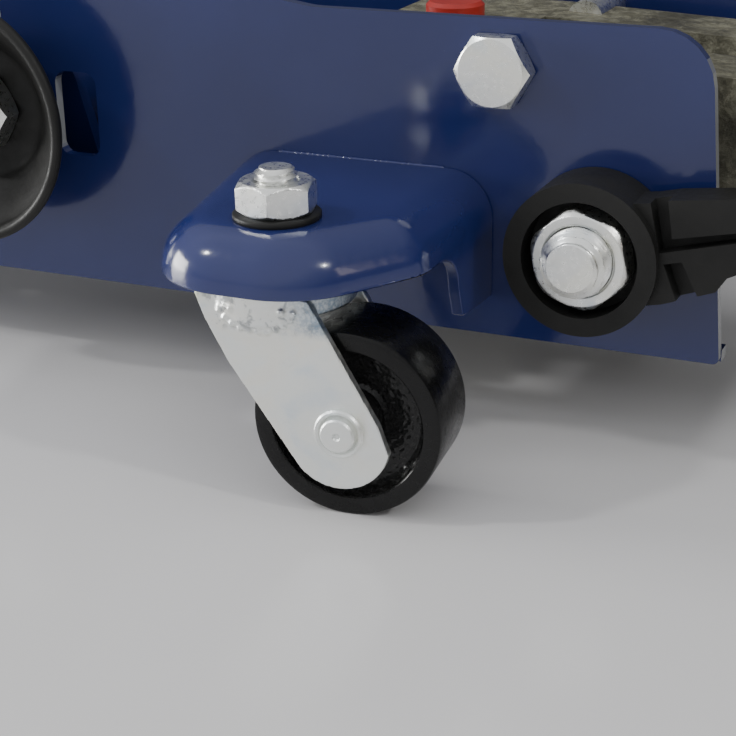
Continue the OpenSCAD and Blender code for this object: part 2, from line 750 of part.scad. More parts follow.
module handle_lower_tube() {
    color("#2b2b2e") along_handle(4) tube(tube_r, tube_r - 2, joint_at);
}
module handle_upper_tube() {
    color("#2b2b2e") along_handle(joint_at - 30)
        tube(tube_r + 2, tube_r, handle_length - 6 - joint_at + 30);
}
module handle_grip() {
    color("#101011") along_handle(handle_length - grip_length) difference() {
        cylinder(r = grip_r, h = grip_length);
        translate([0, 0, -1]) cylinder(r = tube_r + 2, h = grip_length - 5);
    }
}
module handle_clamp_screw() {
    color("silver") along_handle(60) rotate([0, -90, 0]) {
        translate([0, 0, tube_r]) cylinder(r = 4, h = socket_r - tube_r + 3);
        translate([0, 0, socket_r + 1]) chamfered_hex(13, 6);
    }
}

place() side_plate(1);  // left_side_plate
place() side_plate(-1);  // right_side_plate
place() front_cross_plate();
place() tie_bolts();
place() rod_anchor_pins();
place() front_axle();
place() axle_washers();
place() axle_circlips();
place() front_wheel(1);  // left_front_wheel
place() front_wheel(-1);  // right_front_wheel
place() pivot_cup(1);  // left_pivot_cup
place() pivot_cup(-1);  // right_pivot_cup
place() pivot_shaft();
place() pivot_nuts();
place() caster_bracket(1);  // left_caster_bracket
place() caster_bracket(-1);  // right_caster_bracket
place() caster_bolts();
place() caster_nuts();
place() caster_washers();
place() caster_races();
place() caster_fork(1);  // left_caster_fork
place() caster_fork(-1);  // right_caster_fork
place() caster_rivet(1);  // left_caster_rivet
place() caster_rivet(-1);  // right_caster_rivet
place() caster_wheel(1);  // left_caster_wheel
place() caster_wheel(-1);  // right_caster_wheel
place() pump_block();
place() reservoir();
place() ram_cylinder();
place() gland_ring();
place() ram();
place() ram_head();
place() spring_bar();
place() return_springs();
place() spring_anchors();
place() pump_plunger();
place() plunger_spring();
place() plunger_gland();
place() check_balls();
place() filler_plug();
place() overload_cap();
place() release_valve();
place() lift_arm();
place() arm_bushes();
place() arm_cross_pin();
place() radius_rod(1);  // left_radius_rod
place() radius_rod(-1);  // right_radius_rod
place() saddle_bracket();
place() saddle_pivot_pin();
place() rod_front_pin();
place() saddle();
place() saddle_pad();
place() handle_yoke();
place() yoke_bolts();
place() yoke_nuts();
place() pump_roller();
place() handle_lower_tube();
place() handle_upper_tube();
place() handle_grip();
place() handle_clamp_screw();
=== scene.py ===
"""Looks of the hydraulic trolley jack: materials, detailed pieces, light and camera round the CAD frame."""
import json
import math
import random

import bmesh
import bpy
from mathutils import Matrix, Vector, noise


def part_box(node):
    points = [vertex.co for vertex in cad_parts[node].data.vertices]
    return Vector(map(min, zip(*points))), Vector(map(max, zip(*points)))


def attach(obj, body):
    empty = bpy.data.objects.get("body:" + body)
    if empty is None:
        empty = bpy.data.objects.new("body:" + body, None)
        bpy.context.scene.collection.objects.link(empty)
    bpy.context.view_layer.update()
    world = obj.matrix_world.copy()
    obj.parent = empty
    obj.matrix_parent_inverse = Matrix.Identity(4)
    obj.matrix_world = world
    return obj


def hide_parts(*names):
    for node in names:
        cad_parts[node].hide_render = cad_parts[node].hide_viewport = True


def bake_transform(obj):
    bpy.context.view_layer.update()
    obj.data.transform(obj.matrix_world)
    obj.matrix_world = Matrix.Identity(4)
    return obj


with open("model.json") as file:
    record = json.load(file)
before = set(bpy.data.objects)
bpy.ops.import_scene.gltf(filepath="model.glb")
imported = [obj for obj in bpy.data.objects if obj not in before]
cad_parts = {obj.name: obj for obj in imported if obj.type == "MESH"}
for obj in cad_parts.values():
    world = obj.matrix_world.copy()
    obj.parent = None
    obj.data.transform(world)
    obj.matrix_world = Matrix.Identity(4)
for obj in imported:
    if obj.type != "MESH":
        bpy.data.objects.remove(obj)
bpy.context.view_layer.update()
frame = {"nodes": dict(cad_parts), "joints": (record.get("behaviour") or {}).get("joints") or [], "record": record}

NODES = frame["nodes"]
JOINTS = {joint["name"]: joint for joint in frame["joints"]}
SLOT_OF = {part["node"]: part["material_slot"] for part in frame["record"]["subparts"]}
MM = 0.001
ALONG_Y = Matrix.Rotation(-math.pi / 2, 4, "X")  # turns a mesh made along Z to run along +Y
SIDES = (("left", 1), ("right", -1))


def pivot(joint):
    return Vector(JOINTS[joint]["pos_m"])


# ---- Materials: every look is a small node tree on object coordinates ----
class Look:
    """A material under construction: a Principled shader and the nodes that feed it."""

    def __init__(self, name, **sockets):
        self.material = bpy.data.materials.new(name)
        self.material.use_nodes = True
        self.tree = self.material.node_tree
        self.shader = self.tree.nodes["Principled BSDF"]
        for key, value in sockets.items():
            self.shader.inputs[key.replace("_", " ")].default_value = value
        self.place = self.tree.nodes.new("ShaderNodeTexCoord").outputs["Object"]
        self.height = None

    def add(self, kind, inputs=(), **settings):
        node = self.tree.nodes.new(kind)
        for key, value in settings.items():
            setattr(node, key, value)
        for key, value in dict(inputs).items():
            if isinstance(value, bpy.types.NodeSocket):
                self.tree.links.new(value, node.inputs[key])
            else:
                node.inputs[key].default_value = value
        return node

    def noise(self, scale, detail=4.0, rough=0.5, stretch=None, distortion=0.0):
        where = self.place
        if stretch:
            where = self.add("ShaderNodeMapping", {"Vector": where, "Scale": stretch}).outputs[0]
        made = self.add("ShaderNodeTexNoise", {
            "Vector": where, "Scale": scale, "Detail": detail, "Roughness": rough, "Distortion": distortion,
        })
        return made.outputs["Fac"]

    def cells(self, scale, feature="F1", output="Distance"):
        made = self.add("ShaderNodeTexVoronoi", {"Vector": self.place, "Scale": scale}, feature=feature)
        return made.outputs[output]

    def ramp(self, fac, stops, interpolation="EASE"):
        made = self.add("ShaderNodeValToRGB", {"Fac": fac})
        made.color_ramp.interpolation = interpolation
        elements = made.color_ramp.elements
        while len(elements) < len(stops):
            elements.new(0.5)
        for element, (position, colour) in zip(elements, stops):
            element.position = position
            element.color = (*colour, 1) if isinstance(colour, tuple) else (colour, colour, colour, 1)
        return made.outputs["Color"]

    def mix(self, fac, a, b, blend="MIX"):
        made = self.add("ShaderNodeMix", data_type="RGBA", blend_type=blend)
        for index, value in ((0, fac), (6, a), (7, b)):
            if isinstance(value, bpy.types.NodeSocket):
                self.tree.links.new(value, made.inputs[index])
            elif isinstance(value, tuple):
                made.inputs[index].default_value = (*value, 1)
            else:
                made.inputs[index].default_value = value
        return made.outputs[2]

    def math(self, operation, a, b=0.0):
        made = self.add("ShaderNodeMath", operation=operation)
        for index, value in ((0, a), (1, b)):
            if isinstance(value, bpy.types.NodeSocket):
                self.tree.links.new(value, made.inputs[index])
            else:
                made.inputs[index].default_value = value
        return made.outputs[0]

    def feed(self, socket, value):
        self.tree.links.new(value, self.shader.inputs[socket])
        return self

    def bump(self, height, distance, strength=1.0):
        """Stacks one more bump on those already there."""
        inputs = {"Height": height, "Distance": distance, "Strength": strength}
        if self.height is not None:
            inputs["Normal"] = self.height
        self.height = self.add("ShaderNodeBump", inputs).outputs["Normal"]
        self.tree.links.new(self.height, self.shader.inputs["Normal"])
        return self


def blue_paint(name="blue_enamel", pale_rear_edge=False):
    """Glossy enamel over pressed steel: faint orange peel, uneven pigment, dust and small scuffs."""
    look = Look(name, Roughness=0.16, Specular_IOR_Level=0.5, Coat_Weight=0.25, Coat_Roughness=0.03)
    cloud = look.noise(14, detail=5)
    colour = look.ramp(cloud, [(0.3, (0.0140, 0.0215, 0.100)), (0.7, (0.0190, 0.0290, 0.128))])
    dust = look.ramp(look.noise(1400, detail=2), [(0.70, 0.0), (0.80, 0.10)])
    colour = look.mix(dust, colour, (0.10, 0.14, 0.30))
    if pale_rear_edge:  # paler grey on the faces turned to the rear: a plate's sheared rear edge
        normal = look.add("ShaderNodeNewGeometry").outputs["Normal"]
        facing = look.add("ShaderNodeSeparateXYZ", {"Vector": normal}).outputs["X"]
        rear = look.add("ShaderNodeMapRange", {"Value": facing, "From Min": -0.80, "From Max": -0.97})
        colour = look.mix(rear.outputs["Result"], colour, (0.30, 0.31, 0.32))
    look.feed("Base Color", colour)
    look.feed("Roughness", look.ramp(look.noise(60, detail=6, rough=0.7), [(0.35, 0.12), (0.75, 0.24)]))
    look.bump(look.noise(420, detail=1.5), 0.00006, 0.5)
    look.bump(look.noise(45, detail=2), 0.0005, 0.25)
    return look.material


def zinc_plate():
    """Bright zinc plating with its faint yellow and blue passivation, fine grain and handling marks."""
    look = Look("bright_zinc", Metallic=1.0, Roughness=0.32)
    tint = look.ramp(look.noise(55, detail=3, distortion=0.6), [
        (0.30, (0.74, 0.79, 0.84)), (0.48, (0.90, 0.91, 0.89)),
        (0.62, (0.92, 0.92, 0.86)), (0.80, (0.80, 0.86, 0.88)),
    ])
    stain = look.ramp(look.noise(130, detail=6, rough=0.7), [(0.60, 0.0), (0.80, 0.45)])
    look.feed("Base Color", look.mix(stain, tint, (0.52, 0.52, 0.42)))
    grain = look.noise(700, detail=4, rough=0.7)
    look.feed("Roughness", look.ramp(grain, [(0.3, 0.24), (0.7, 0.42)]))
    look.bump(look.noise(1500, detail=3), 0.00004, 0.5)
    look.bump(look.noise(160, detail=3), 0.00018, 0.45)
    return look.material


def fork_zinc():
    """The fork's plating: dull, stained round the crown, with a painted bluish reflection behind it, and yellow in
    front.
    """
    look = Look("fork_zinc", Metallic=1.0, Roughness=0.42)
    tint = look.ramp(look.noise(70, detail=4, distortion=0.8), [
        (0.25, (0.78, 0.83, 0.86)), (0.45, (0.87, 0.89, 0.87)),
        (0.62, (0.89, 0.89, 0.84)), (0.85, (0.82, 0.86, 0.88)),
    ])
    stain = look.ramp(look.noise(150, detail=6, rough=0.7), [(0.62, 0.0), (0.82, 0.35)])
    colour = look.mix(stain, tint, (0.50, 0.52, 0.50))
    split = look.add("ShaderNodeSeparateXYZ", {"Vector": look.place})
    height = look.math("MULTIPLY", split.outputs["Z"], 10)  # in decimetres, to suit the ramps' 0 to 1
    crown = look.ramp(height, [(0.445, 0.0), (0.475, 1.0)])
    marks = look.ramp(look.noise(340, detail=3, rough=0.6, distortion=0.5), [(0.50, 0.0), (0.66, 0.75)])
    colour = look.mix(look.math("MULTIPLY", crown, marks), colour, (0.30, 0.32, 0.34))
    # Painted reflection: the crown's rear is coloured a darker speckled blue in place of the light its faces
    # catch.
    rear = look.math("MULTIPLY", look.ramp(split.outputs["X"], [(0.006, 1.0), (0.010, 0.0)]), crown)
    speckle = look.ramp(look.noise(1500, detail=2), [(0.35, 0.45), (0.65, 0.85)])
    colour = look.mix(look.math("MULTIPLY", rear, speckle), colour, (0.24, 0.33, 0.44))
    corner = look.math("MULTIPLY", look.ramp(split.outputs["X"], [(0.0305, 0.0), (0.035, 1.0)]),
                       look.ramp(height, [(0.50, 0.0), (0.53, 1.0)]))
    look.feed("Base Color", look.mix(corner, colour, (0.80, 0.84, 0.38)))
    grain = look.noise(900, detail=4, rough=0.75)
    look.feed("Roughness", look.ramp(grain, [(0.3, 0.30), (0.7, 0.55)]))
    look.bump(look.noise(1600, detail=3), 0.00006, 0.6)
    look.bump(look.noise(200, detail=4), 0.00025, 0.5)
    return look.material


def bright_steel():
    """Ground steel: fine lines round the bar, with a thin film of oil."""
    look = Look("ground_steel", Metallic=1.0, Roughness=0.2)
    lines = look.noise(900, detail=3, stretch=(6.0, 0.3, 0.3))
    look.feed("Base Color", look.ramp(lines, [(0.3, (0.60, 0.61, 0.62)), (0.7, (0.74, 0.74, 0.73))]))
    look.feed("Roughness", look.ramp(look.noise(80, detail=5), [(0.3, 0.14), (0.7, 0.32)]))
    look.bump(lines, 0.00003, 0.6)
    return look.material


def black_paint():
    """Satin black paint over a casting: soft sheen, fine texture, faint scuffs."""
    look = Look("satin_black", Roughness=0.5, Specular_IOR_Level=0.28)
    pigment = [(0.3, (0.0105, 0.0105, 0.0100)), (0.7, (0.0175, 0.0175, 0.0165))]
    look.feed("Base Color", look.ramp(look.noise(30, detail=5), pigment))
    look.feed("Roughness", look.ramp(look.noise(180, detail=5, rough=0.7), [(0.3, 0.42), (0.75, 0.62)]))
    look.bump(look.noise(900, detail=3), 0.00009, 0.55)
    look.bump(look.noise(120, detail=2), 0.0004, 0.3)
    return look.material


def black_gloss():
    """Glossy black enamel dipped over a rough iron casting."""
    look = Look("gloss_black_iron", Roughness=0.24, Specular_IOR_Level=0.24,
                Coat_Weight=0.12, Coat_Roughness=0.12)
    pigment = [(0.3, (0.0030, 0.0030, 0.0032)), (0.7, (0.0060, 0.0060, 0.0062))]
    look.feed("Base Color", look.ramp(look.noise(60, detail=5), pigment))
    look.feed("Roughness", look.ramp(look.noise(240, detail=5, rough=0.7), [(0.3, 0.18), (0.75, 0.38)]))
    look.bump(look.noise(620, detail=3), 0.00016, 0.6)
    look.bump(look.noise(140, detail=3), 0.0006, 0.35)
    return look.material


def speckled_iron():
    """The wheel's recess: the same enamel where it beads over coarse cast grain."""
    look = Look("speckled_black_iron", Roughness=0.2, Specular_IOR_Level=0.35,
                Coat_Weight=0.5, Coat_Roughness=0.06)
    grain = look.cells(1500)
    look.feed("Base Color", look.ramp(grain, [(0.0, (0.010, 0.010, 0.011)), (0.6, (0.003, 0.003, 0.003))]))
    look.feed("Roughness", look.ramp(look.noise(500, detail=3), [(0.3, 0.12), (0.75, 0.34)]))
    look.bump(grain, 0.0008, 0.8)
    look.bump(look.noise(1100, detail=4, rough=0.7), 0.0006, 0.8)
    return look.material


def raw_casting():
    """Unpainted sand casting, mottled olive and grey, with a gritty skin and oil stains."""
    look = Look("raw_casting", Metallic=0.35, Roughness=0.62)
    mottle = look.ramp(look.noise(260, detail=8, rough=0.75, distortion=0.5), [
        (0.28, (0.045, 0.043, 0.030)), (0.45, (0.135, 0.128, 0.088)),
        (0.60, (0.26, 0.25, 0.18)), (0.78, (0.46, 0.44, 0.35)),
    ])
    stain = look.ramp(look.noise(40, detail=4), [(0.45, 0.0), (0.75, 0.7)])
    look.feed("Base Color", look.mix(stain, mottle, (0.028, 0.026, 0.020)))
    look.feed("Roughness", look.ramp(look.noise(300, detail=5), [(0.3, 0.42), (0.7, 0.78)]))
    look.bump(look.noise(750, detail=6, rough=0.75), 0.0007, 0.9)
    look.bump(look.cells(420, output="Distance"), 0.0006, 0.4)
    return look.material


def spring_steel():
    """Oiled spring wire."""
    look = Look("spring_wire", Metallic=1.0, Roughness=0.34)
    oil = [(0.3, (0.16, 0.16, 0.17)), (0.7, (0.34, 0.34, 0.35))]
    look.feed("Base Color", look.ramp(look.noise(140, detail=4), oil))
    look.feed("Roughness", look.ramp(look.noise(600, detail=3), [(0.3, 0.26), (0.7, 0.46)]))
    look.bump(look.noise(1200, detail=2), 0.00005, 0.6)
    return look.material


def bronze():
    """Sintered bronze, porous and slightly tarnished."""
    look = Look("sintered_bronze", Metallic=1.0, Roughness=0.38)
    tarnish = [(0.3, (0.30, 0.18, 0.07)), (0.7, (0.56, 0.38, 0.16))]
    look.feed("Base Color", look.ramp(look.noise(200, detail=6), tarnish))
    look.feed("Roughness", look.ramp(look.noise(500, detail=4), [(0.3, 0.30), (0.7, 0.52)]))
    look.bump(look.cells(1400), 0.0001, 0.6)
    return look.material


def black_rubber():
    """Moulded rubber: matt, with a little bloom and a fine leather grain."""
    look = Look("moulded_rubber", Roughness=0.75, Specular_IOR_Level=0.3)
    bloom = look.ramp(look.noise(35, detail=5), [(0.4, (0.014, 0.014, 0.014)), (0.75, (0.034, 0.033, 0.032))])
    look.feed("Base Color", bloom)
    look.feed("Roughness", look.ramp(look.noise(220, detail=4), [(0.3, 0.62), (0.7, 0.88)]))
    look.bump(look.cells(1100), 0.00018, 0.6)
    return look.material


def red_plastic():
    """Moulded red plastic plug."""
    look = Look("red_plastic", Roughness=0.36, Subsurface_Weight=0.05)
    pigment = [(0.3, (0.36, 0.018, 0.012)), (0.7, (0.46, 0.030, 0.020))]
    look.feed("Base Color", look.ramp(look.noise(90, detail=3), pigment))
    look.bump(look.noise(800, detail=2), 0.00005, 0.5)
    return look.material


def floor_look():
    """Pale, lightly polished workshop floor."""
    look = Look("pale_floor", Roughness=0.22, Specular_IOR_Level=0.45)
    tone = [(0.3, (0.76, 0.75, 0.75)), (0.7, (0.82, 0.81, 0.81))]
    look.feed("Base Color", look.ramp(look.noise(2.5, detail=4), tone))
    look.feed("Roughness", look.ramp(look.noise(9, detail=5), [(0.3, 0.16), (0.7, 0.27)]))
    return look.material


LOOKS = {
    "blue_paint": blue_paint(), "zinc_plate": zinc_plate(), "bright_steel": bright_steel(),
    "black_paint": black_paint(), "black_iron": black_gloss(), "raw_casting": raw_casting(),
    "spring_steel": spring_steel(), "bronze": bronze(), "black_rubber": black_rubber(),
    "red_plastic": red_plastic(),
}
SPECKLED = speckled_iron()
FORK_ZINC = fork_zinc()
PLATE_PAINT = blue_paint("blue_enamel_plate", pale_rear_edge=True)


# ---- Mesh builders: each returns (points, faces) of a closed solid in the piece's own millimetres ----
def rounded(points, steps=8):
    """A closed outline in 2D from (x, y, radius) corners; round corners become arcs."""
    outline = []
    for i, (x, y, r) in enumerate(points):
        corner = Vector((x, y))
        if r <= 0:
            outline.append(corner)
            continue
        u = (Vector(points[i - 1][:2]) - corner).normalized()
        w = (Vector(points[(i + 1) % len(points)][:2]) - corner).normalized()
        outline += corner_arc(corner, u, w, r, steps)
    return outline


def corner_arc(corner, u, w, r, steps):
    """Points of the arc of radius r that rounds a corner whose sides leave it along u and w."""
    half = math.acos(max(-1.0, min(1.0, u.dot(w)))) / 2
    centre = corner + (u + w).normalized() * r / math.sin(half)
    first = corner + u * r / math.tan(half) - centre
    last = corner + w * r / math.tan(half) - centre
    start = math.atan2(first.y, first.x)
    sweep = (math.atan2(last.y, last.x) - start + math.pi) % (2 * math.pi) - math.pi
    return [centre + r * Vector((math.cos(start + sweep * k / steps), math.sin(start + sweep * k / steps)))
            for k in range(steps + 1)]


def skin(loops, close_ends=True):
    """A skin over equally long loops of 3D points, capped at both ends."""
    size = len(loops[0])
    points = [p for loop in loops for p in loop]
    faces = []
    for k in range(len(loops) - 1):
        for i in range(size):
            j = (i + 1) % size
            a, b = k * size, (k + 1) * size
            faces.append((a + i, a + j, b + j, b + i))
    if close_ends:
        last = (len(loops) - 1) * size
        faces.append(tuple(reversed(range(size))))
        faces.append(tuple(range(last, last + size)))
    return points, faces


def closed_skin(loops):
    """A skin over loops where the last loop joins the first again, as round a ring."""
    points, faces = skin(loops, close_ends=False)
    size, last = len(loops[0]), (len(loops) - 1) * len(loops[0])
    faces += [(last + i, last + (i + 1) % size, (i + 1) % size, i) for i in range(size)]
    return points, faces


def extruded(outline, y0, y1):
    """An outline in X and Z made into a plate from y0 to y1."""
    return skin([[Vector((p.x, y, p.y)) for p in outline] for y in (y0, y1)])


def angles(steps):
    """Equal steps once round, in radians."""
    return [2 * math.pi * k / steps for k in range(steps)]


def on_circle(radius, angle, z):
    return Vector((radius * math.cos(angle), radius * math.sin(angle), z))


def polar(radius, heights, steps=96):
    """A solid about Z whose radius is a function of the angle and the height."""
    return skin([[on_circle(radius(a, z), a, z) for a in angles(steps)] for z in heights])


def lathe(profile, steps=96):
    """A ring about Z from a closed profile of (radius, height) points."""
    return closed_skin([[on_circle(r, a, z) for r, z in profile] for a in angles(steps)])


def sweep(path, radius, sides=12):
    """A tube along a path. radius is a number or a function of the point's index."""
    across = (path[1] - path[0]).orthogonal().normalized()
    loops = []
    for i, point in enumerate(path):
        ahead = (path[min(i + 1, len(path) - 1)] - path[max(i - 1, 0)]).normalized()
        across = (across - ahead * across.dot(ahead)).normalized()
        over = ahead.cross(across)
        r = radius(i) if callable(radius) else radius
        loops.append([point + r * (across * math.cos(a) + over * math.sin(a)) for a in angles(sides)])
    return skin(loops)


def joined(*solids):
    """Several solids as one list of points and faces."""
    points, faces = [], []
    for more_points, more_faces in solids:
        start = len(points)
        points += more_points
        faces += [tuple(start + i for i in face) for face in more_faces]
    return points, faces


def moved(solid, matrix):
    points, faces = solid
    return [matrix @ Vector(p) for p in points], faces


def spread(low, high, count):
    """Evenly spaced numbers from low to high, both included."""
    return [low + (high - low) * k / (count - 1) for k in range(count)]


def hex_radius(across_flats, corner_r):
    """Radius of a hexagon with rounded corners, as a function of the angle."""
    flat = across_flats / 2

    def radius(angle):
        off = (angle + math.pi / 6) % (math.pi / 3) - math.pi / 6
        return min(flat / math.cos(off), corner_r)
    return radius


THREAD_DEPTH = 0.55  # of the pitch
ROWS_A_TURN = 10  # of mesh, along each turn of a thread
NUT_FACE_STEP = 0.35  # from a nut's flats in to its round end face


def threaded(radius, low, high, pitch, cut, steps=64, rise=None):
    """A threaded rod along Z, its end coned down by cut over a height of rise; the thread runs out on it."""
    depth = pitch * THREAD_DEPTH
    rise = rise or cut

    def surface(angle, z):
        turn = ((z - low) / pitch - angle / (2 * math.pi)) % 1
        groove = depth * abs(2 * turn - 1)
        cone = max(0.0, z - (high - rise)) * cut / rise
        return radius - cone - groove * (1 - 0.55 * cone / cut)
    count = int((high - low) / pitch * ROWS_A_TURN) + 2
    return polar(surface, spread(low, high - 0.02, count) + [high], steps)


def hex_ring(across_flats, low, high, bore, corner_r=None, chamfer=1.2, steps=144):
    """A hexagon nut along Z: coned corners, and a bore that is countersunk at its top."""
    tip = across_flats / 2 / math.cos(math.pi / 6)
    shape = hex_radius(across_flats, corner_r or tip)
    face = across_flats / 2 - NUT_FACE_STEP
    rows = spread(low, low + chamfer, 7) + spread(high - chamfer, high, 7)
    loops = []
    for a in angles(steps):
        profile = [(bore, low)]
        for z in rows:
            cone = face + min(z - low, high - z) * (tip - face) / chamfer
            profile.append((min(shape(a), cone), z))
        profile += [(bore + 0.55, high), (bore + 0.08, high - 0.7)]
        loops.append([on_circle(r, a, z) for r, z in profile])
    return closed_skin(loops)


# ---- Placing: a left piece's millimetres go to the frame's metres; a right piece is its mirror image ----
TO_METRES = Matrix.Diagonal((MM, MM, MM, 1))


def at(origin, side=1, turn=0.0):
    """origin is in the frame's metres, on the left side; turn is about Z, in degrees."""
    local = Matrix.Rotation(math.radians(turn), 4, "Z")
    return Matrix.Diagonal((1, side, 1, 1)) @ Matrix.Translation(origin) @ local @ TO_METRES


def add_piece(name, solid, where, body, slot, replaces=(), look=None, sharp=35, bevel=0.0):
    """Adds a mesh piece, gives it its look, and lets it ride on its body."""
    points, faces = solid
    mesh = bpy.data.meshes.new(name)
    mesh.from_pydata([where @ Vector(p) for p in points], [], faces)
    if where.determinant() < 0:
        mesh.flip_normals()
    mesh.validate()
    work = bmesh.new()
    work.from_mesh(mesh)
    bmesh.ops.recalc_face_normals(work, faces=work.faces)
    work.to_mesh(mesh)
    work.free()
    mesh.shade_smooth()
    mesh.set_sharp_from_angle(angle=math.radians(sharp))
    piece = bpy.data.objects.new(name, mesh)
    bpy.context.scene.collection.objects.link(piece)
    mesh.materials.append(look or LOOKS[slot])
    if bevel:
        round_edges(piece, bevel)
    if body:
        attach(piece, body)
    if replaces:
        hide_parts(*replaces)
    return piece


def round_edges(piece, width, segments=2, angle=40):
    """Bevels a piece's sharp edges by a width in millimetres."""
    edge = piece.modifiers.new("edge", "BEVEL")
    edge.width = width * MM
    edge.segments = segments
    edge.limit_method = "ANGLE"
    edge.angle_limit = math.radians(angle)
    edge.harden_normals = True


def melt(piece, voxel, smooth=4, factor=0.5):
    """Joins a piece's overlapping solids into one skin with soft edges, as in a casting or pressing."""
    remesh = piece.modifiers.new("melt", "REMESH")
    remesh.mode = "VOXEL"
    remesh.voxel_size = voxel * MM
    remesh.use_smooth_shade = True
    relax = piece.modifiers.new("relax", "SMOOTH")
    relax.factor = factor
    relax.iterations = smooth


# ---- CAD nodes that stay: their own material, and their sharp edges broken ----
def soften(node, width=0.4, segments=2):
    """Merges a node's coplanar triangles and rounds its edges, without touching its own mesh."""
    piece = NODES[node]
    merge = piece.modifiers.new("merge", "DECIMATE")
    merge.decimate_type = "DISSOLVE"
    merge.angle_limit = math.radians(0.5)
    round_edges(piece, width, segments)


for name, piece in NODES.items():
    piece.data.materials.clear()
    piece.data.materials.append(PLATE_PAINT if name.endswith("side_plate") else LOOKS[SLOT_OF[name]])


# ---- Places, from the frame ----
def from_axis(joint):
    """The floor point under a joint's axis, on the left side."""
    place = pivot(joint)
    return Vector((place.x, place.y, 0))


def mm_box(node):
    low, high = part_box(node)
    return low / MM, high / MM


PLATE_Y = mm_box("left_side_plate")[1].y  # outer face of the left plate
CASTER = from_axis("left_caster_swivel")
CASTER_OUT = CASTER.y / MM - PLATE_Y  # from the plate to the caster bolt
CASTER_TURN = 6.0
TOP_Z = mm_box("caster_washers")[0].z  # the bracket's top face
LIFT = Vector((pivot("lift_arm_pivot").x, 0, pivot("lift_arm_pivot").z))
YOKE = Vector((pivot("handle_stroke").x, 0, pivot("handle_stroke").z))
AXLE = pivot("left_caster_wheel_spin")
SHEET = 3.0


# ---- Caster bracket: flat top, edges rolled down all round, a skirt at the rear ----
ROLL = 12.0  # radius of the rolled edge
ROLL_STEPS = 10
ROLL_Z = TOP_Z - ROLL
FLANGE_Z = TOP_Z - 13  # bottom edge round the nose
REAR_X = -33.0
BRACKET_CORNERS = ((REAR_X, -8, 14), (-15.0, 20.8, 22), (24.8, 20.8, 23))
FRONT_END = Vector((48.5, -95))  # the front edge runs towards this point
SKIRT_TOP_Y, SKIRT_STEP_Y, SKIRT_FOOT_Y = -17.0, -30.5, -33.0
SKIRT_STEP_Z, SKIRT_FOOT_Z, SKIRT_END_Z = 44.0, 37.0, 35.5


def bracket_edge_z(x, y):
    """Height of the bracket's bottom edge at a point of its outline."""
    if x > REAR_X + SHEET + 0.5 or y > SKIRT_TOP_Y:
        return FLANGE_Z
    if y > SKIRT_STEP_Y:
        share = (SKIRT_TOP_Y - y) / (SKIRT_TOP_Y - SKIRT_STEP_Y)
        return SKIRT_STEP_Z + (FLANGE_Z - SKIRT_STEP_Z) * math.sqrt(max(0.0, 1 - share ** 2.4))
    if y > SKIRT_FOOT_Y:
        share = (y - SKIRT_FOOT_Y) / (SKIRT_STEP_Y - SKIRT_FOOT_Y)
        return SKIRT_FOOT_Z + share * (SKIRT_STEP_Z - SKIRT_FOOT_Z)
    share = (SKIRT_FOOT_Y - y) / (SKIRT_FOOT_Y + CASTER_OUT)
    return SKIRT_FOOT_Z + (SKIRT_END_Z - SKIRT_FOOT_Z) * math.sqrt(min(1.0, share))


def bracket_path(inset):
    """The bracket's open outline from the plate round the nose to the plate again, moved in by inset."""
    corners = [Vector((REAR_X, -95))] + [Vector(c[:2]) for c in BRACKET_CORNERS] + [FRONT_END]
    lines = []
    for a, b in zip(corners, corners[1:]):
        along = (b - a).normalized()
        inward = Vector((along.y, -along.x))
        lines.append((a + inward * inset, along))
    moved_corners = []
    for (a, u), (b, w) in zip(lines, lines[1:]):
        step = ((b - a).x * w.y - (b - a).y * w.x) / (u.x * w.y - u.y * w.x)
        moved_corners.append(a + u * step)
    ys = spread(-CASTER_OUT, SKIRT_FOOT_Y - 1, 7) + spread(SKIRT_FOOT_Y, -16, 35)
    path = [Vector((REAR_X + inset, y)) for y in ys]
    for k, corner in enumerate(moved_corners):
        r = max(BRACKET_CORNERS[k][2] - inset, 0.5)
        arc = corner_arc(corner, -lines[k][1], lines[k + 1][1], r, 14)
        path += [path[-1].lerp(arc[0], t) for t in (0.25, 0.5, 0.75)] + arc
    start, along = lines[-1]
    end = start + along * ((-CASTER_OUT - start.y) / along.y)
    last = path[-1]
    path += [last.lerp(end, t) for t in spread(0.1, 1.0, 10)]
    return path


def bracket_solid():
    """The pressing as an outer and an inner skin, joined along its bottom edge and its end at the plate."""
    def rows(inset, roll):
        outline = bracket_path(inset)
        made = []
        for share in (0.0, 0.5, 1.0):
            rise = [(1 - share) * bracket_edge_z(p.x, p.y) + share * ROLL_Z for p in outline]
            made.append([Vector((p.x, p.y, z)) for p, z in zip(outline, rise)])
        for k in range(1, ROLL_STEPS + 1):
            t = math.pi / 2 * k / ROLL_STEPS
            level = bracket_path(inset + roll * (1 - math.cos(t)))
            made.append([Vector((p.x, p.y, ROLL_Z + roll * math.sin(t))) for p in level])
        return made
    outer, inner = rows(0.0, ROLL), rows(SHEET, ROLL - SHEET)
    size, count = len(outer[0]), len(outer)
    points = [p for row in outer + inner for p in row]
    faces = []
    for first, flip in ((0, False), (count, True)):
        for k in range(first, first + count - 1):
            for i in range(size - 1):
                face = (k * size + i, k * size + i + 1, (k + 1) * size + i + 1, (k + 1) * size + i)
                faces.append(face[::-1] if flip else face)
    faces.append(tuple(range((count - 1) * size, count * size)))
    faces.append(tuple(reversed(range((2 * count - 1) * size, 2 * count * size))))
    faces += [(i, count * size + i, count * size + i + 1, i + 1) for i in range(size - 1)]
    rear = [k * size for k in range(count)]
    front = [k * size + size - 1 for k in range(count)]
    within = [count * size + i for i in front + rear[::-1]]
    faces.append(tuple(rear + front[::-1] + within))
    return points, faces


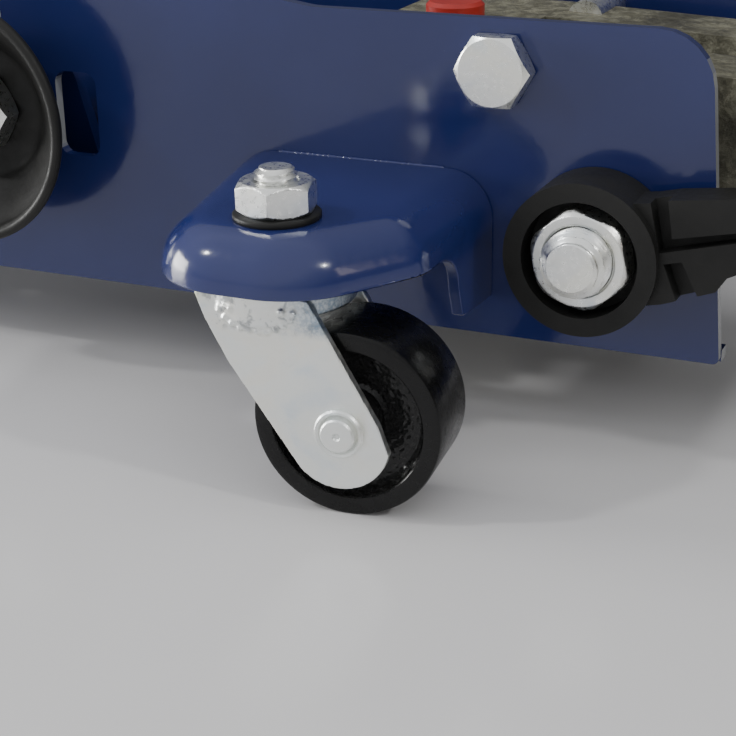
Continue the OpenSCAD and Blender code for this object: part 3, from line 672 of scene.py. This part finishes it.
def weld_bead(path, radius, seed, ripple=0.22, pitch=1.5):
    """A hand-laid weld: a tube whose thickness ripples and wanders."""
    random.seed(seed)
    wander = [random.uniform(-1, 1) for _ in path]
    length = [0.0]
    for a, b in zip(path, path[1:]):
        length.append(length[-1] + (b - a).length)
    total = length[-1]

    def size(i):
        ends = min(1.0, length[i] / radius, (total - length[i]) / radius)
        wave = 1 + ripple * math.sin(2 * math.pi * length[i] / pitch) + 0.12 * wander[i]
        return radius * wave * math.sqrt(max(0.04, ends))
    return sweep(path, size, sides=14)


def line_points(start, end, step=0.4):
    start, end = Vector(start), Vector(end)
    count = max(3, int((end - start).length / step))
    return [start.lerp(end, k / count) for k in range(count + 1)]


WELD_Y, WELD_Z = -CASTER_OUT + 0.3, TOP_Z - 0.2  # the bead where the bracket's top meets the plate


def brackets():
    front = bracket_path(ROLL)[-1]
    for name, side in SIDES:
        place = at(CASTER, side)
        add_piece(f"{name}_pressed_bracket", bracket_solid(), place, "frame", "blue_paint",
                  replaces=(f"{name}_caster_bracket",), bevel=0.5, sharp=50)
        path = line_points((REAR_X + ROLL + 1, WELD_Y, WELD_Z), (front.x - 1, WELD_Y, WELD_Z))
        bead = weld_bead(path, 0.6, seed=3 + side, ripple=0.08)
        add_piece(f"{name}_bracket_weld", bead, place, "frame", "blue_paint")


# ---- Casters: pressed fork with its raceway bulge, riveted axle, cast wheel ----
LEG_IN, LEG_OUT = 12.8, 15.3  # a leg's inner and outer faces, from the middle
CROWN_Z = 54.5
CROWN_TOP = CROWN_Z + 2.5
TRAIL = -(AXLE - pivot("left_caster_swivel")).xy.length / MM
AXLE_Z = AXLE.z / MM
BULGE = 2.9  # how far the raceway stands out of the leg
BULGE_TOP, BULGE_DEPTH = 53.4, 7.4  # the bulge's lower edge on a leg is an arc so deep
CROWN_LOW = 50.6  # underside of the crown between the legs
FOOT = Vector((TRAIL + 0.6, AXLE_Z - 1.9))  # centre of the leg's round foot
FOOT_R = 12.4
CROWN_BORE = 4.6
LOOSE_BEADS = 14  # on each leg, near the bulge's lower edge


def leg_outline():
    """The leg as (x, z): crown, front edge, round foot, and the straight rear edge back to the crown."""
    foot_arc = [FOOT + FOOT_R * Vector((math.cos(a), math.sin(a)))
                for a in spread(math.radians(-30), math.radians(-168), 24)]
    knee = FOOT + Vector((-9.7, 4.3))
    crown_half = 9.2
    corners = [(-13.4, 51.6, 0), (-12.2, CROWN_Z - 0.7, 0), (-crown_half, CROWN_Z - 0.4, 0),
               (-crown_half, CROWN_TOP, 0), (crown_half, CROWN_TOP, 0), (crown_half, CROWN_Z - 0.4, 0),
               (15.2, CROWN_Z - 0.6, 0.5), (12.6, 47.2, 5), (7.4, 37.3, 14)]
    return rounded(corners + [(p.x, p.y, 0) for p in foot_arc] + [(knee.x, knee.y, 8)])


def bulge_edge(x):
    """Height of the bulge's lower edge on a leg, at a distance along it; None beyond the bulge."""
    across = abs(x) / LEG_OUT / 0.62
    return BULGE_TOP - BULGE_DEPTH * math.sqrt(1 - across ** 2.2) if across < 1 else None


def bulge_solid():
    """The ball raceway pressed out round the bolt: it stands out of both legs, with a lip at its rear."""
    rim = LEG_OUT + BULGE
    loops = []
    for a in angles(144):
        low = bulge_edge(LEG_OUT * math.cos(a))
        lip = min(1.0, max(0.0, (-math.cos(a) - 0.60) / 0.12))
        foot = LEG_OUT - 0.6 if low else LEG_OUT + 1.4
        low = min(low or CROWN_LOW, CROWN_LOW)
        low, foot, rise = low - 1.2 * lip, foot + (rim - 0.7 - foot) * lip, 3.2 - 2.5 * lip
        profile = []
        for t in spread(0.0, math.pi / 2, 9):
            profile.append((foot + (rim - foot) * math.sin(t), low + rise * (1 - math.cos(t))))
        profile += [(rim, CROWN_Z), (rim - 0.9, CROWN_Z + 2.0), (LEG_OUT - 1.5, CROWN_TOP),
                    (CROWN_BORE, CROWN_TOP), (CROWN_BORE, CROWN_Z),
                    (LEG_OUT - 2.2, CROWN_Z - 0.6), (LEG_OUT - 1.6, low)]
        loops.append([on_circle(r, a, z) for r, z in profile])
    return closed_skin(loops)


def bead_ball():
    """A unit ball."""
    heights = [-math.cos(math.pi * t / 8) for t in range(9)]
    return polar(lambda _, z: math.sqrt(max(0.02, 1 - z * z)), heights, 12)


def bulge_bumps(seed):
    """Zinc that ran to the bulge's lower edge: a rippled bead on it, a thinner one above, and loose beads."""
    beads = []
    for side in (1, -1):
        edge = [Vector((x, side * (LEG_OUT + 0.25), bulge_edge(x) + 0.3))
                for x in spread(-9.2, 9.2, 60)]
        step = [Vector((x, side * (LEG_OUT + 1.6), 51.4 + 0.3 * math.sin(x)))
                for x in spread(-7.6, 7.6, 50)]
        beads.append(weld_bead(edge, 1.15, seed + side, ripple=0.34, pitch=2.1))
        beads.append(weld_bead(step, 0.75, seed + 5 * side, ripple=0.40, pitch=3.1))
    random.seed(seed)
    for side in (1, -1):
        for _ in range(LOOSE_BEADS):
            x = LEG_OUT * math.sin(math.radians(random.uniform(-36, 36)))
            size = random.uniform(0.35, 0.75)
            place = Vector((x, side * (LEG_OUT + 0.15), bulge_edge(x) + random.uniform(-0.9, 2.4)))
            form = Matrix.Diagonal((size * 1.4, size * 0.8, size, 1))
            beads.append(moved(bead_ball(), Matrix.Translation(place) @ form))
    return beads


def forks():
    """Both forks, each melted into one pressing."""
    legs = [extruded(leg_outline(), y, y + LEG_OUT - LEG_IN) for y in (LEG_IN, -LEG_OUT)]
    for name, side in SIDES:
        fork = add_piece(f"{name}_pressed_fork", joined(*legs, bulge_solid(), *bulge_bumps(11 + side)),
                         at(CASTER, side, CASTER_TURN), f"{name}_caster", "zinc_plate",
                         replaces=(f"{name}_caster_fork",), look=FORK_ZINC)
        melt(fork, 0.30, smooth=2, factor=0.4)


RIVET_R = 4.0


def rivet_solid():
    """Shank with an upset collar, a groove and a staked boss with a punched centre at each end, about Z."""
    face = LEG_OUT
    end = [(5.9, face), (5.95, face + 1.0), (5.5, face + 1.5), (4.9, face + 1.3), (4.5, face + 0.7),
           (4.2, face + 1.2), (4.1, face + 2.2), (3.7, face + 2.65), (1.0, face + 2.8), (0.4, face + 2.2)]
    profile = [(RIVET_R, 0), (RIVET_R, face - 0.1)] + end
    rows = [(r, -z) for r, z in reversed(profile)] + profile
    return skin([[on_circle(r, a, z) for a in angles(64)] for r, z in rows])


RIM_R = AXLE_Z
RECESS_R = 18.3
HALF_WHEEL = 11.0
WEB_Z = 5.2  # half the thickness of the web in the recess
WHEEL_BORE = RIVET_R + 0.06
WHEEL_HUB = 7.6
WHEEL_STEPS = 200
GRAIN = 0.30  # height of the casting's rough skin


def wheel_solid(seed):
    """Cast wheel: true rim and tread, a recess with the rough skin of the casting, a plain hub."""
    hub, end = WHEEL_HUB, HALF_WHEEL + 1.3
    face = [(WHEEL_BORE, 0), (WHEEL_BORE, end), (hub - 0.5, end), (hub, end - 0.5)]
    rough = [(hub + 0.3, t) for t in spread(HALF_WHEEL - 0.2, WEB_Z + 0.8, 6)]
    rough += [(r, WEB_Z) for r in spread(hub + 1.2, RECESS_R - 1.8, 22)]
    rough += [(RECESS_R - 0.9, WEB_Z + 0.5), (RECESS_R - 0.5, WEB_Z + 1.4),
              (RECESS_R - 0.3, WEB_Z + 2.4), (RECESS_R - 0.15, WEB_Z + 3.4)]
    rim = [(RECESS_R, HALF_WHEEL - 0.3), (RECESS_R + 0.3, HALF_WHEEL), (RIM_R - 0.9, HALF_WHEEL),
           (RIM_R - 0.26, HALF_WHEEL - 0.26), (RIM_R, HALF_WHEEL - 0.9), (RIM_R, 0)]
    half = [(r, z, False) for r, z in face] + [(r, z, True) for r, z in rough]
    half += [(r, z, False) for r, z in rim]
    profile = half + [(r, -z, bumpy) for r, z, bumpy in reversed(half[1:-1])]
    loops = []
    for a in angles(WHEEL_STEPS):
        loop = []
        for r, z, bumpy in profile:
            place = on_circle(r, a, z)
            if bumpy:
                grain = noise.fractal(place * 0.9 + Vector((seed, 0, 0)), 0.7, 2.2, 3)
                place.z += math.copysign(GRAIN * grain, z)
            loop.append(place)
        loops.append(loop)
    return closed_skin(loops), [bumpy for _, _, bumpy in profile]


def speckle(wheel, rough):
    """Gives a wheel's rough faces the beaded enamel; rough has one flag for each face along its profile."""
    wheel.data.materials.append(SPECKLED)
    for index, face in enumerate(wheel.data.polygons):
        face.material_index = 1 if rough[index % len(rough)] else 0


def casters():
    """Forks, rivets and wheels, all turned together about the caster bolts."""
    forks()
    axle = Matrix.Translation((TRAIL, 0, AXLE_Z)) @ ALONG_Y
    for name, side in SIDES:
        place = at(CASTER, side, CASTER_TURN) @ axle
        add_piece(f"{name}_staked_rivet", rivet_solid(), place, f"{name}_caster", "zinc_plate",
                  replaces=(f"{name}_caster_rivet",), look=FORK_ZINC)
        solid, bumpy = wheel_solid(side * 5)
        wheel = add_piece(f"{name}_cast_wheel", solid, place, f"{name}_caster_wheel", "black_iron",
                          replaces=(f"{name}_caster_wheel",), sharp=30)
        speckle(wheel, [a or b for a, b in zip(bumpy, bumpy[1:] + bumpy[:1])])


# ---- Nuts and bolt ends ----
STUD_R = 5.0
NUT_TURN = 13.8  # of the caster nut about its bolt, in degrees
YOKE_BOLT_R = 8.5
YOKE_NUT_TURN = 12


def caster_fasteners(name, place):
    stub_top = mm_box("caster_bolts")[1].z
    nut_low, nut_high = mm_box("caster_nuts")[0].z, mm_box("caster_nuts")[1].z
    nut = hex_ring(17, nut_low, nut_high, STUD_R, chamfer=1.3)
    add_piece(f"{name}_caster_nut", nut, place, "frame", "zinc_plate",
              replaces=("caster_nuts",), sharp=28, bevel=0.18)
    low, high = CROWN_Z - 5.3, CROWN_Z - 0.3  # the bolt's head, under the crown
    head = lathe([(4.4, low + 0.1), (7.4, low), (8, low + 0.6),
                  (8, high - 0.5), (7.4, high), (4.4, high)], 48)
    stud = threaded(STUD_R, CROWN_Z - 5, stub_top, 1.5, 1.1)
    add_piece(f"{name}_caster_bolt", joined(stud, head), place, "frame", "zinc_plate",
              replaces=("caster_bolts",), sharp=28)
    thick = 1.5
    washer = lathe([(5.1, TOP_Z), (10.1, TOP_Z), (10.3, TOP_Z + 0.3), (10.3, TOP_Z + thick - 0.3),
                    (10.0, TOP_Z + thick), (5.1, TOP_Z + thick)])
    add_piece(f"{name}_caster_washer", washer, place, "frame", "black_paint",
              replaces=("caster_washers",), sharp=50)


def yoke_fasteners(name, place):
    bolt_end = mm_box("yoke_bolts")[1].y
    top = mm_box("yoke_nuts")[1].y
    nut = hex_ring(23, top - 8.2, top, YOKE_BOLT_R + 0.05, corner_r=12.5, chamfer=2.2)
    nut = moved(nut, Matrix.Rotation(math.radians(YOKE_NUT_TURN), 4, "Z"))
    add_piece(f"{name}_yoke_nut", nut, place, "frame", "zinc_plate",
              replaces=("yoke_nuts",), sharp=28, bevel=0.3)
    bolt = threaded(YOKE_BOLT_R, 16.0, bolt_end, 1.6, 2.5, steps=128, rise=3.0)
    add_piece(f"{name}_yoke_bolt", bolt, place, "frame", "zinc_plate", replaces=("yoke_bolts",), sharp=28)


def hex_nuts():
    for name, side in SIDES:
        caster_fasteners(name, at(CASTER, side, NUT_TURN))
        yoke_fasteners(name, at(YOKE, side) @ ALONG_Y)


# ---- Pivot cups ----
def smooth_curve(points, steps=6):
    """Points of a Catmull-Rom curve through 2D points."""
    ends = [points[0]] + list(points) + [points[-1]]
    made = []
    for a, b, c, d in zip(ends, ends[1:], ends[2:], ends[3:]):
        for k in range(steps):
            t = k / steps
            made.append(tuple(
                0.5 * (2 * q + (r - p) * t + (2 * p - 5 * q + 4 * r - s) * t * t
                       + (3 * q - p - 3 * r + s) * t ** 3)
                for p, q, r, s in zip(a, b, c, d)))
    return made + [tuple(points[-1])]


def cups():
    """Bells turned about the lift pivot, from a foot on the plate out to a rounded lip."""
    low, high = mm_box("left_pivot_cup")
    depth, lip, bore = high.y - PLATE_Y, (high.z - low.z) / 2, 6.1
    outer = smooth_curve([(18.5, 0.2), (20.6, 2.2), (25.2, 7.5), (30.6, 13.4),
                          (lip - 0.6, 17.0), (lip, 18.6), (lip - 0.5, 19.7), (lip - 1.4, depth)])
    inner = smooth_curve([(lip - 2.4, depth - 0.3), (lip - 3.4, depth - 1.6), (lip - 4.0, depth - 3.6),
                          (26.4, 12.2), (20.4, 6.0), (16.5, 3.2), (bore, 3.0)])
    profile = outer + inner + [(bore, 0.2)]
    for name, side in SIDES:
        place = at(LIFT + Vector((0, PLATE_Y * MM, 0)), side) @ ALONG_Y
        add_piece(f"{name}_cup_shell", lathe(profile, 144), place, "frame", "black_paint",
                  replaces=(f"{name}_pivot_cup",), sharp=50)


# ---- Springs: real coils in place of the plain sleeves, stretching between their two ends ----
def helix(start, end, radius, turns, per_turn=20, dead=1.2):
    """Points of a coil from start to end, with close-wound dead turns at both ends."""
    start, end = Vector(start), Vector(end)
    axis = (end - start).normalized()
    across = axis.orthogonal().normalized()
    over = axis.cross(across)
    count = int(turns * per_turn)
    points = []
    for k in range(count + 1):
        turn = k / per_turn
        share = min(max((turn - dead) / (turns - 2 * dead), 0.0), 1.0)
        a = 2 * math.pi * turn
        points.append(start.lerp(end, share) + radius * (math.cos(a) * across + math.sin(a) * over))
    return points


def add_spring(name, solid, side, node):
    """Adds a spring made in millimetres, mirrored for the right side, with its placing baked into the mesh."""
    spring = add_piece(name, solid, Matrix.Diagonal((MM, side * MM, MM, 1)), None, "spring_steel",
                       replaces=(node,), sharp=60)
    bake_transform(spring)


def springs():
    """Two return springs hooked from the frame to the ram's bar, and the plunger's spring."""
    low, high = mm_box("return_springs")
    rise, radius, wire = (low.z + high.z) / 2, (high.z - low.z) / 2, 0.75
    y = high.y - radius
    anchor, bar = mm_box("spring_anchors")[1].x, mm_box("spring_bar")[0].x
    coil = helix((low.x + wire, y, rise), (high.x - wire, y, rise), radius - wire, 24)
    rear_hook = [(anchor - 5, y, rise + 1.5), (anchor - 2, y, rise), (low.x - 0.5, y, rise)]
    front_hook = [(high.x + 0.5, y, rise), (bar + 1.5, y, rise + 3.3), (bar + 4.5, y, rise + 2.6)]
    hooks = [sweep(line_points(a, b, 1) + line_points(b, c, 1)[1:], wire, sides=8)
             for a, b, c in (rear_hook, front_hook)]
    for name, side in SIDES:
        add_spring(f"{name}_return_coil", joined(sweep(coil, wire, sides=8), *hooks), side,
                   "return_springs")
    low, high = mm_box("plunger_spring")
    rise, radius, wire = (low.z + high.z) / 2, (high.z - low.z) / 2, 1.0
    coil = helix((high.x - wire, 0, rise), (low.x + wire, 0, rise), radius - wire, 8, per_turn=28)
    add_spring("plunger_coil", sweep(coil, wire, sides=10), 1,
               "plunger_spring")


# ---- Handle grip: ribbed rubber sleeve with a rounded end and a flange ----
HANDLE_SLOPE = math.radians(40)  # the handle's rise at rest, as in the frame
HANDLE_AXIS = Vector((-math.cos(HANDLE_SLOPE), 0, math.sin(HANDLE_SLOPE)))


def along_handle(far_node):
    """Places a piece made along Z so that its top is at a node's far end, on the handle's axis."""
    low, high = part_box(far_node)
    radius = (high.y - low.y) / 2
    far = Vector((low.x + radius * math.sin(HANDLE_SLOPE), 0, high.z - radius * math.cos(HANDLE_SLOPE)))
    axes = HANDLE_AXIS.to_track_quat("Z", "Y").to_matrix().to_4x4()
    return Matrix.Translation(far) @ axes @ TO_METRES, radius / MM


def grip():
    """A turned sleeve with a cuff, rounded ribs and a domed end, cut by long flutes."""
    place, radius = along_handle("handle_grip")
    length, bore, rib, dome = 115.0, 16.02, 4.6, 6
    outer = []
    for k in range(int((length - 22) * 4)):
        z = -length + 6 + k / 4
        share = (z / rib) % 1
        outer.append((radius - 0.1 - 1.1 * (0.5 - 0.5 * math.cos(2 * math.pi * share)) ** 1.5, z))
    end = [(radius - 0.2, -15), (radius, -13.5), (radius, -dome)]
    end += [(radius - dome + dome * math.cos(a), -dome + dome * math.sin(a))
            for a in spread(0.1, math.pi / 2, 8)]
    end += [(4, 0), (3.2, -1.2), (0.05, -1.2)]
    cuff = [(bore, -length), (radius - 0.8, -length), (radius, -length + 0.8),
            (radius, -length + 4.6), (radius - 0.5, -length + 5.4)]
    solid = lathe(cuff + outer + end + [(0.05, -5), (bore, -5)], 96)
    flutes = 6  # long grooves so that the hand doesn't slip round
    for p in solid[0]:
        r = math.hypot(p.x, p.y)
        if r > bore + 0.5 and -length + 9 < p.z < -17:
            cut = 0.7 * max(0.0, math.cos(flutes * math.atan2(p.y, p.x))) ** 6
            p.x, p.y = p.x * (r - cut) / r, p.y * (r - cut) / r
    add_piece("ribbed_grip", solid, place, "yoke", "black_rubber", replaces=("handle_grip",), sharp=50)


# ---- Front wheels: cast, with a recessed web, a hub and five shallow dishes ----
DISHES = 5


def front_wheel_solid(half, rim):
    """One wheel about Z, with a flag for each row of its profile that has the casting's rough skin."""
    bore, hub, web = 8.06, 13.5, half - 5.0
    round_r = 2.6  # of the tread's edges
    face = [(bore, half - 0.6), (bore + 0.6, half), (hub - 0.8, half), (hub, half - 0.8)]
    dish = [(hub + 0.4, web + 1.5), (hub + 1.6, web + 0.2)]
    dish += [(r, web) for r in spread(hub + 3, rim - 9, 12)]
    dish += [(rim - 7.4, web + 0.6), (rim - 6.4, web + 2.4)]
    tread = [(rim - 5.6, half - 0.8), (rim - 4.8, half), (rim - round_r, half)]
    tread += [(rim - round_r + round_r * math.sin(a), half - round_r + round_r * math.cos(a))
              for a in spread(0.25, math.pi / 2, 6)]
    rough = [False] * len(face) + [True] * len(dish) + [False] * len(tread)
    rough += rough[::-1]
    profile = face + dish + tread
    profile += [(r, -z) for r, z in reversed(profile)]
    loops = []
    for a in angles(160):
        ridge = max(0.0, math.cos(DISHES * a)) ** 2
        loop = []
        for (r, z), bumpy in zip(profile, rough):
            place = on_circle(r, a, z)
            if bumpy and hub + 1 < r < rim - 6.6:
                dip = 1.6 * (1 - ridge) * math.sin(math.pi * (r - hub - 1) / (rim - 7.6 - hub))
                place.z -= math.copysign(dip, z)
                place.z += math.copysign(0.22 * noise.fractal(place * 0.8, 0.7, 2.2, 3), z)
            loop.append(place)
        loops.append(loop)
    return closed_skin(loops), rough


def front_wheels():
    low, high = mm_box("left_front_wheel")
    axle = pivot("left_front_wheel_spin")
    middle = Vector((axle.x, (low.y + high.y) / 2 * MM, axle.z))
    solid, rough = front_wheel_solid((high.y - low.y) / 2, (high.z - low.z) / 2)
    for name, side in SIDES:
        wheel = add_piece(f"{name}_cast_front_wheel", solid, at(middle, side) @ ALONG_Y,
                          f"{name}_front_wheel", "black_iron", replaces=(f"{name}_front_wheel",), sharp=35)
        speckle(wheel, [a and b for a, b in zip(rough, rough[1:] + rough[:1])])


# ---- Welds on the reservoir and the lift arm, and the saddle's rubber pad ----
def ring_points(centre, radius, axis, turn=360.0, step=0.5):
    """Points round an axis, over a turn in degrees."""
    axis = Vector(axis)
    across = axis.orthogonal().normalized()
    over = axis.cross(across)
    count = max(8, int(radius * math.radians(turn) / step))
    return [Vector(centre) + radius * (math.cos(a) * across + math.sin(a) * over)
            for a in (math.radians(turn * k / count) for k in range(count + 1))]


CYLINDER_WELD_R = 17.8
ARM_WELD_R, ARM_WELD_Y = 16.4, 30.7  # round the lift arm's hub, on its outer faces


def welds():
    low, high = mm_box("reservoir")
    middle, radius = (low.z + high.z) / 2, (high.z - low.z) / 2
    seam = weld_bead(ring_points((low.x + 1.0, 0, middle), radius - 0.2, (1, 0, 0)), 1.4, seed=21)
    front = weld_bead(ring_points((high.x - 1.0, 0, middle), CYLINDER_WELD_R, (1, 0, 0)), 1.0, seed=22)
    add_piece("reservoir_welds", joined(seam, front), TO_METRES, "frame", "blue_paint")
    arm = []
    for side in (1, -1):
        centre = (LIFT.x / MM, side * ARM_WELD_Y, LIFT.z / MM)
        ring = ring_points(centre, ARM_WELD_R, (0, 1, 0), turn=350)
        arm.append(weld_bead(ring, 1.3, seed=31 + side))
    add_piece("lift_arm_welds", joined(*arm), TO_METRES, "lift_arm", "blue_paint")


def saddle_pad():
    """A thick rubber disc: round shoulder, sunk middle, and blocks between shallow grooves."""
    low, high = mm_box("saddle_pad")
    radius, depth = (high.x - low.x) / 2, high.z - low.z
    centre = Vector(((low.x + high.x) / 2, 0, 0)) * MM
    shoulder, well, block = 2.6, 11.5, 6.2

    def surface(x, y):
        r = math.hypot(x, y)
        top = depth - 0.2
        if r > radius - shoulder:
            top -= (r - radius + shoulder) ** 2 * 0.42
        if r < well:
            top -= 2.5 * min(1.0, (well - r) / 1.5)
        cut = min(abs((x / block) % 1 - 0.5), abs((y / block) % 1 - 0.5))
        groove = max(0.0, 1 - cut / 0.11)
        if well + 1 < r < radius - 3.4:
            top -= 1.3 * min(1.0, groove * 1.6)
        return top

    turns = angles(220)
    loops = [[on_circle(r, a, low.z) for a in turns] for r in (radius - 0.5, radius)]
    for r in reversed(spread(0.3, radius, 110)):
        loops.append([on_circle(r, a, low.z + surface(r * math.cos(a), r * math.sin(a))) for a in turns])
    add_piece("saddle_rubber", skin(loops), at(centre), "saddle", "black_rubber",
              replaces=("saddle_pad",), sharp=50)


# ---- Floor, light and camera ----
NOSE = CASTER + Vector((0, 0.015, 0.063))  # the bracket's nose, which mirrors the lamps
ROOM_TILT = (0.25, 0.60, 1.0)  # the room grows lighter along this direction
ROOM_LOW, ROOM_HIGH = -0.5, 1.2  # the span of the stops below, along the tilt
ROOM_STOPS = [(-0.3, 0.10), (0.1, 0.19), (0.3, 0.38), (0.55, 0.56), (0.8, 0.88), (1.1, 0.95)]
# Each lamp: name, (azimuth, elevation) in degrees, size in metres, radiance, colour.
LAMPS = [
    ("window_left", (98, 7), (1.1, 0.8), 20, (1.0, 1.0, 0.98)),
    ("warm_right", (268, 20), (0.22, 0.7), 3.0, (1.0, 0.88, 0.78)),
    ("lamp_left", (117.0, 43.4), (0.17, 0.17), 120, (1, 1, 1)),
    ("lamp_right", (-104.9, 39.9), (0.17, 0.17), 120, (1, 1, 1)),
]
LAMP_DISTANCE = 2.5


def stage():
    """A plain pale floor."""
    mesh = bpy.data.meshes.new("floor")
    half = 6.0
    corners = [(-half, -half, 0), (half, -half, 0), (half, half, 0), (-half, half, 0)]
    mesh.from_pydata(corners, [], [(0, 1, 2, 3)])
    floor = bpy.data.objects.new("floor", mesh)
    mesh.materials.append(floor_look())
    bpy.context.scene.collection.objects.link(floor)


def area_light(name, direction, size, radiance, colour):
    """A softbox round the bracket's nose, facing it; radiance is its own brightness."""
    lamp = bpy.data.lights.new(name, "AREA")
    lamp.shape = "ELLIPSE" if size[0] == size[1] else "RECTANGLE"
    lamp.size, lamp.size_y = size
    lamp.energy = radiance * math.pi * size[0] * size[1]
    lamp.color = colour
    azimuth, elevation = (math.radians(a) for a in direction)
    level = math.cos(elevation)
    towards = Vector((math.sin(azimuth) * level, -math.cos(azimuth) * level, math.sin(elevation)))
    holder = bpy.data.objects.new(name, lamp)
    holder.location = NOSE + towards * LAMP_DISTANCE
    holder.rotation_mode = "QUATERNION"
    holder.rotation_quaternion = towards.to_track_quat("Z", "Y")
    bpy.context.scene.collection.objects.link(holder)


def studio():
    """A pale room, darker behind the jack, with a window on the left and two small round lamps."""
    world = bpy.data.worlds.new("studio")
    bpy.context.scene.world = world
    world.use_nodes = True
    tree = world.node_tree
    ray = tree.nodes.new("ShaderNodeTexCoord")
    along = tree.nodes.new("ShaderNodeVectorMath")
    along.operation = "DOT_PRODUCT"
    along.inputs[1].default_value = ROOM_TILT
    span = tree.nodes.new("ShaderNodeMapRange")
    span.inputs["From Min"].default_value = ROOM_LOW
    span.inputs["From Max"].default_value = ROOM_HIGH
    room = tree.nodes.new("ShaderNodeValToRGB")
    tree.links.new(ray.outputs["Generated"], along.inputs[0])
    tree.links.new(along.outputs["Value"], span.inputs["Value"])
    tree.links.new(span.outputs["Result"], room.inputs["Fac"])
    elements = room.color_ramp.elements
    while len(elements) < len(ROOM_STOPS):
        elements.new(0.5)
    for element, (level, bright) in zip(elements, ROOM_STOPS):
        element.position = (level - ROOM_LOW) / (ROOM_HIGH - ROOM_LOW)
        element.color = (bright * 0.99, bright, bright * 1.02, 1)
    tree.links.new(room.outputs["Color"], tree.nodes["Background"].inputs["Color"])
    for lamp in LAMPS:
        area_light(*lamp)


VIEW_FROM = Vector((-0.17256, 0.33132, 0.18049))  # from the floor under the left caster's bolt
VIEW_TURN, VIEW_DOWN, VIEW_ROLL = 24.415, 21.932, -1.020
LENS = 82.81


def camera():
    """The photograph's view of the rear left corner, placed from the left caster's bolt."""
    alpha, pitch, roll = (math.radians(a) for a in (VIEW_TURN, VIEW_DOWN, VIEW_ROLL))
    lens = bpy.data.cameras.new("camera")
    lens.sensor_width = 36.0
    lens.lens = LENS
    lens.clip_start = 0.01
    view = bpy.data.objects.new("camera", lens)
    level = math.cos(pitch)
    forward = Vector((math.sin(alpha) * level, -math.cos(alpha) * level, -math.sin(pitch)))
    right = Vector((-math.cos(alpha), -math.sin(alpha), 0))
    up = right.cross(forward)
    turned_right = right * math.cos(roll) + up * math.sin(roll)
    turned_up = up * math.cos(roll) - right * math.sin(roll)
    axes = Matrix((turned_right, turned_up, -forward)).transposed().to_4x4()
    view.matrix_world = Matrix.Translation(CASTER + VIEW_FROM) @ axes
    bpy.context.scene.collection.objects.link(view)
    bpy.context.scene.camera = view


stage()
studio()
camera()
brackets()
casters()
hex_nuts()
cups()
springs()
grip()
front_wheels()
welds()
saddle_pad()
for name in NODES:
    if name == "handle_yoke":
        soften(name, width=1.1, segments=3)
    elif name != "check_balls":  # spheres have no edges to round
        soften(name)
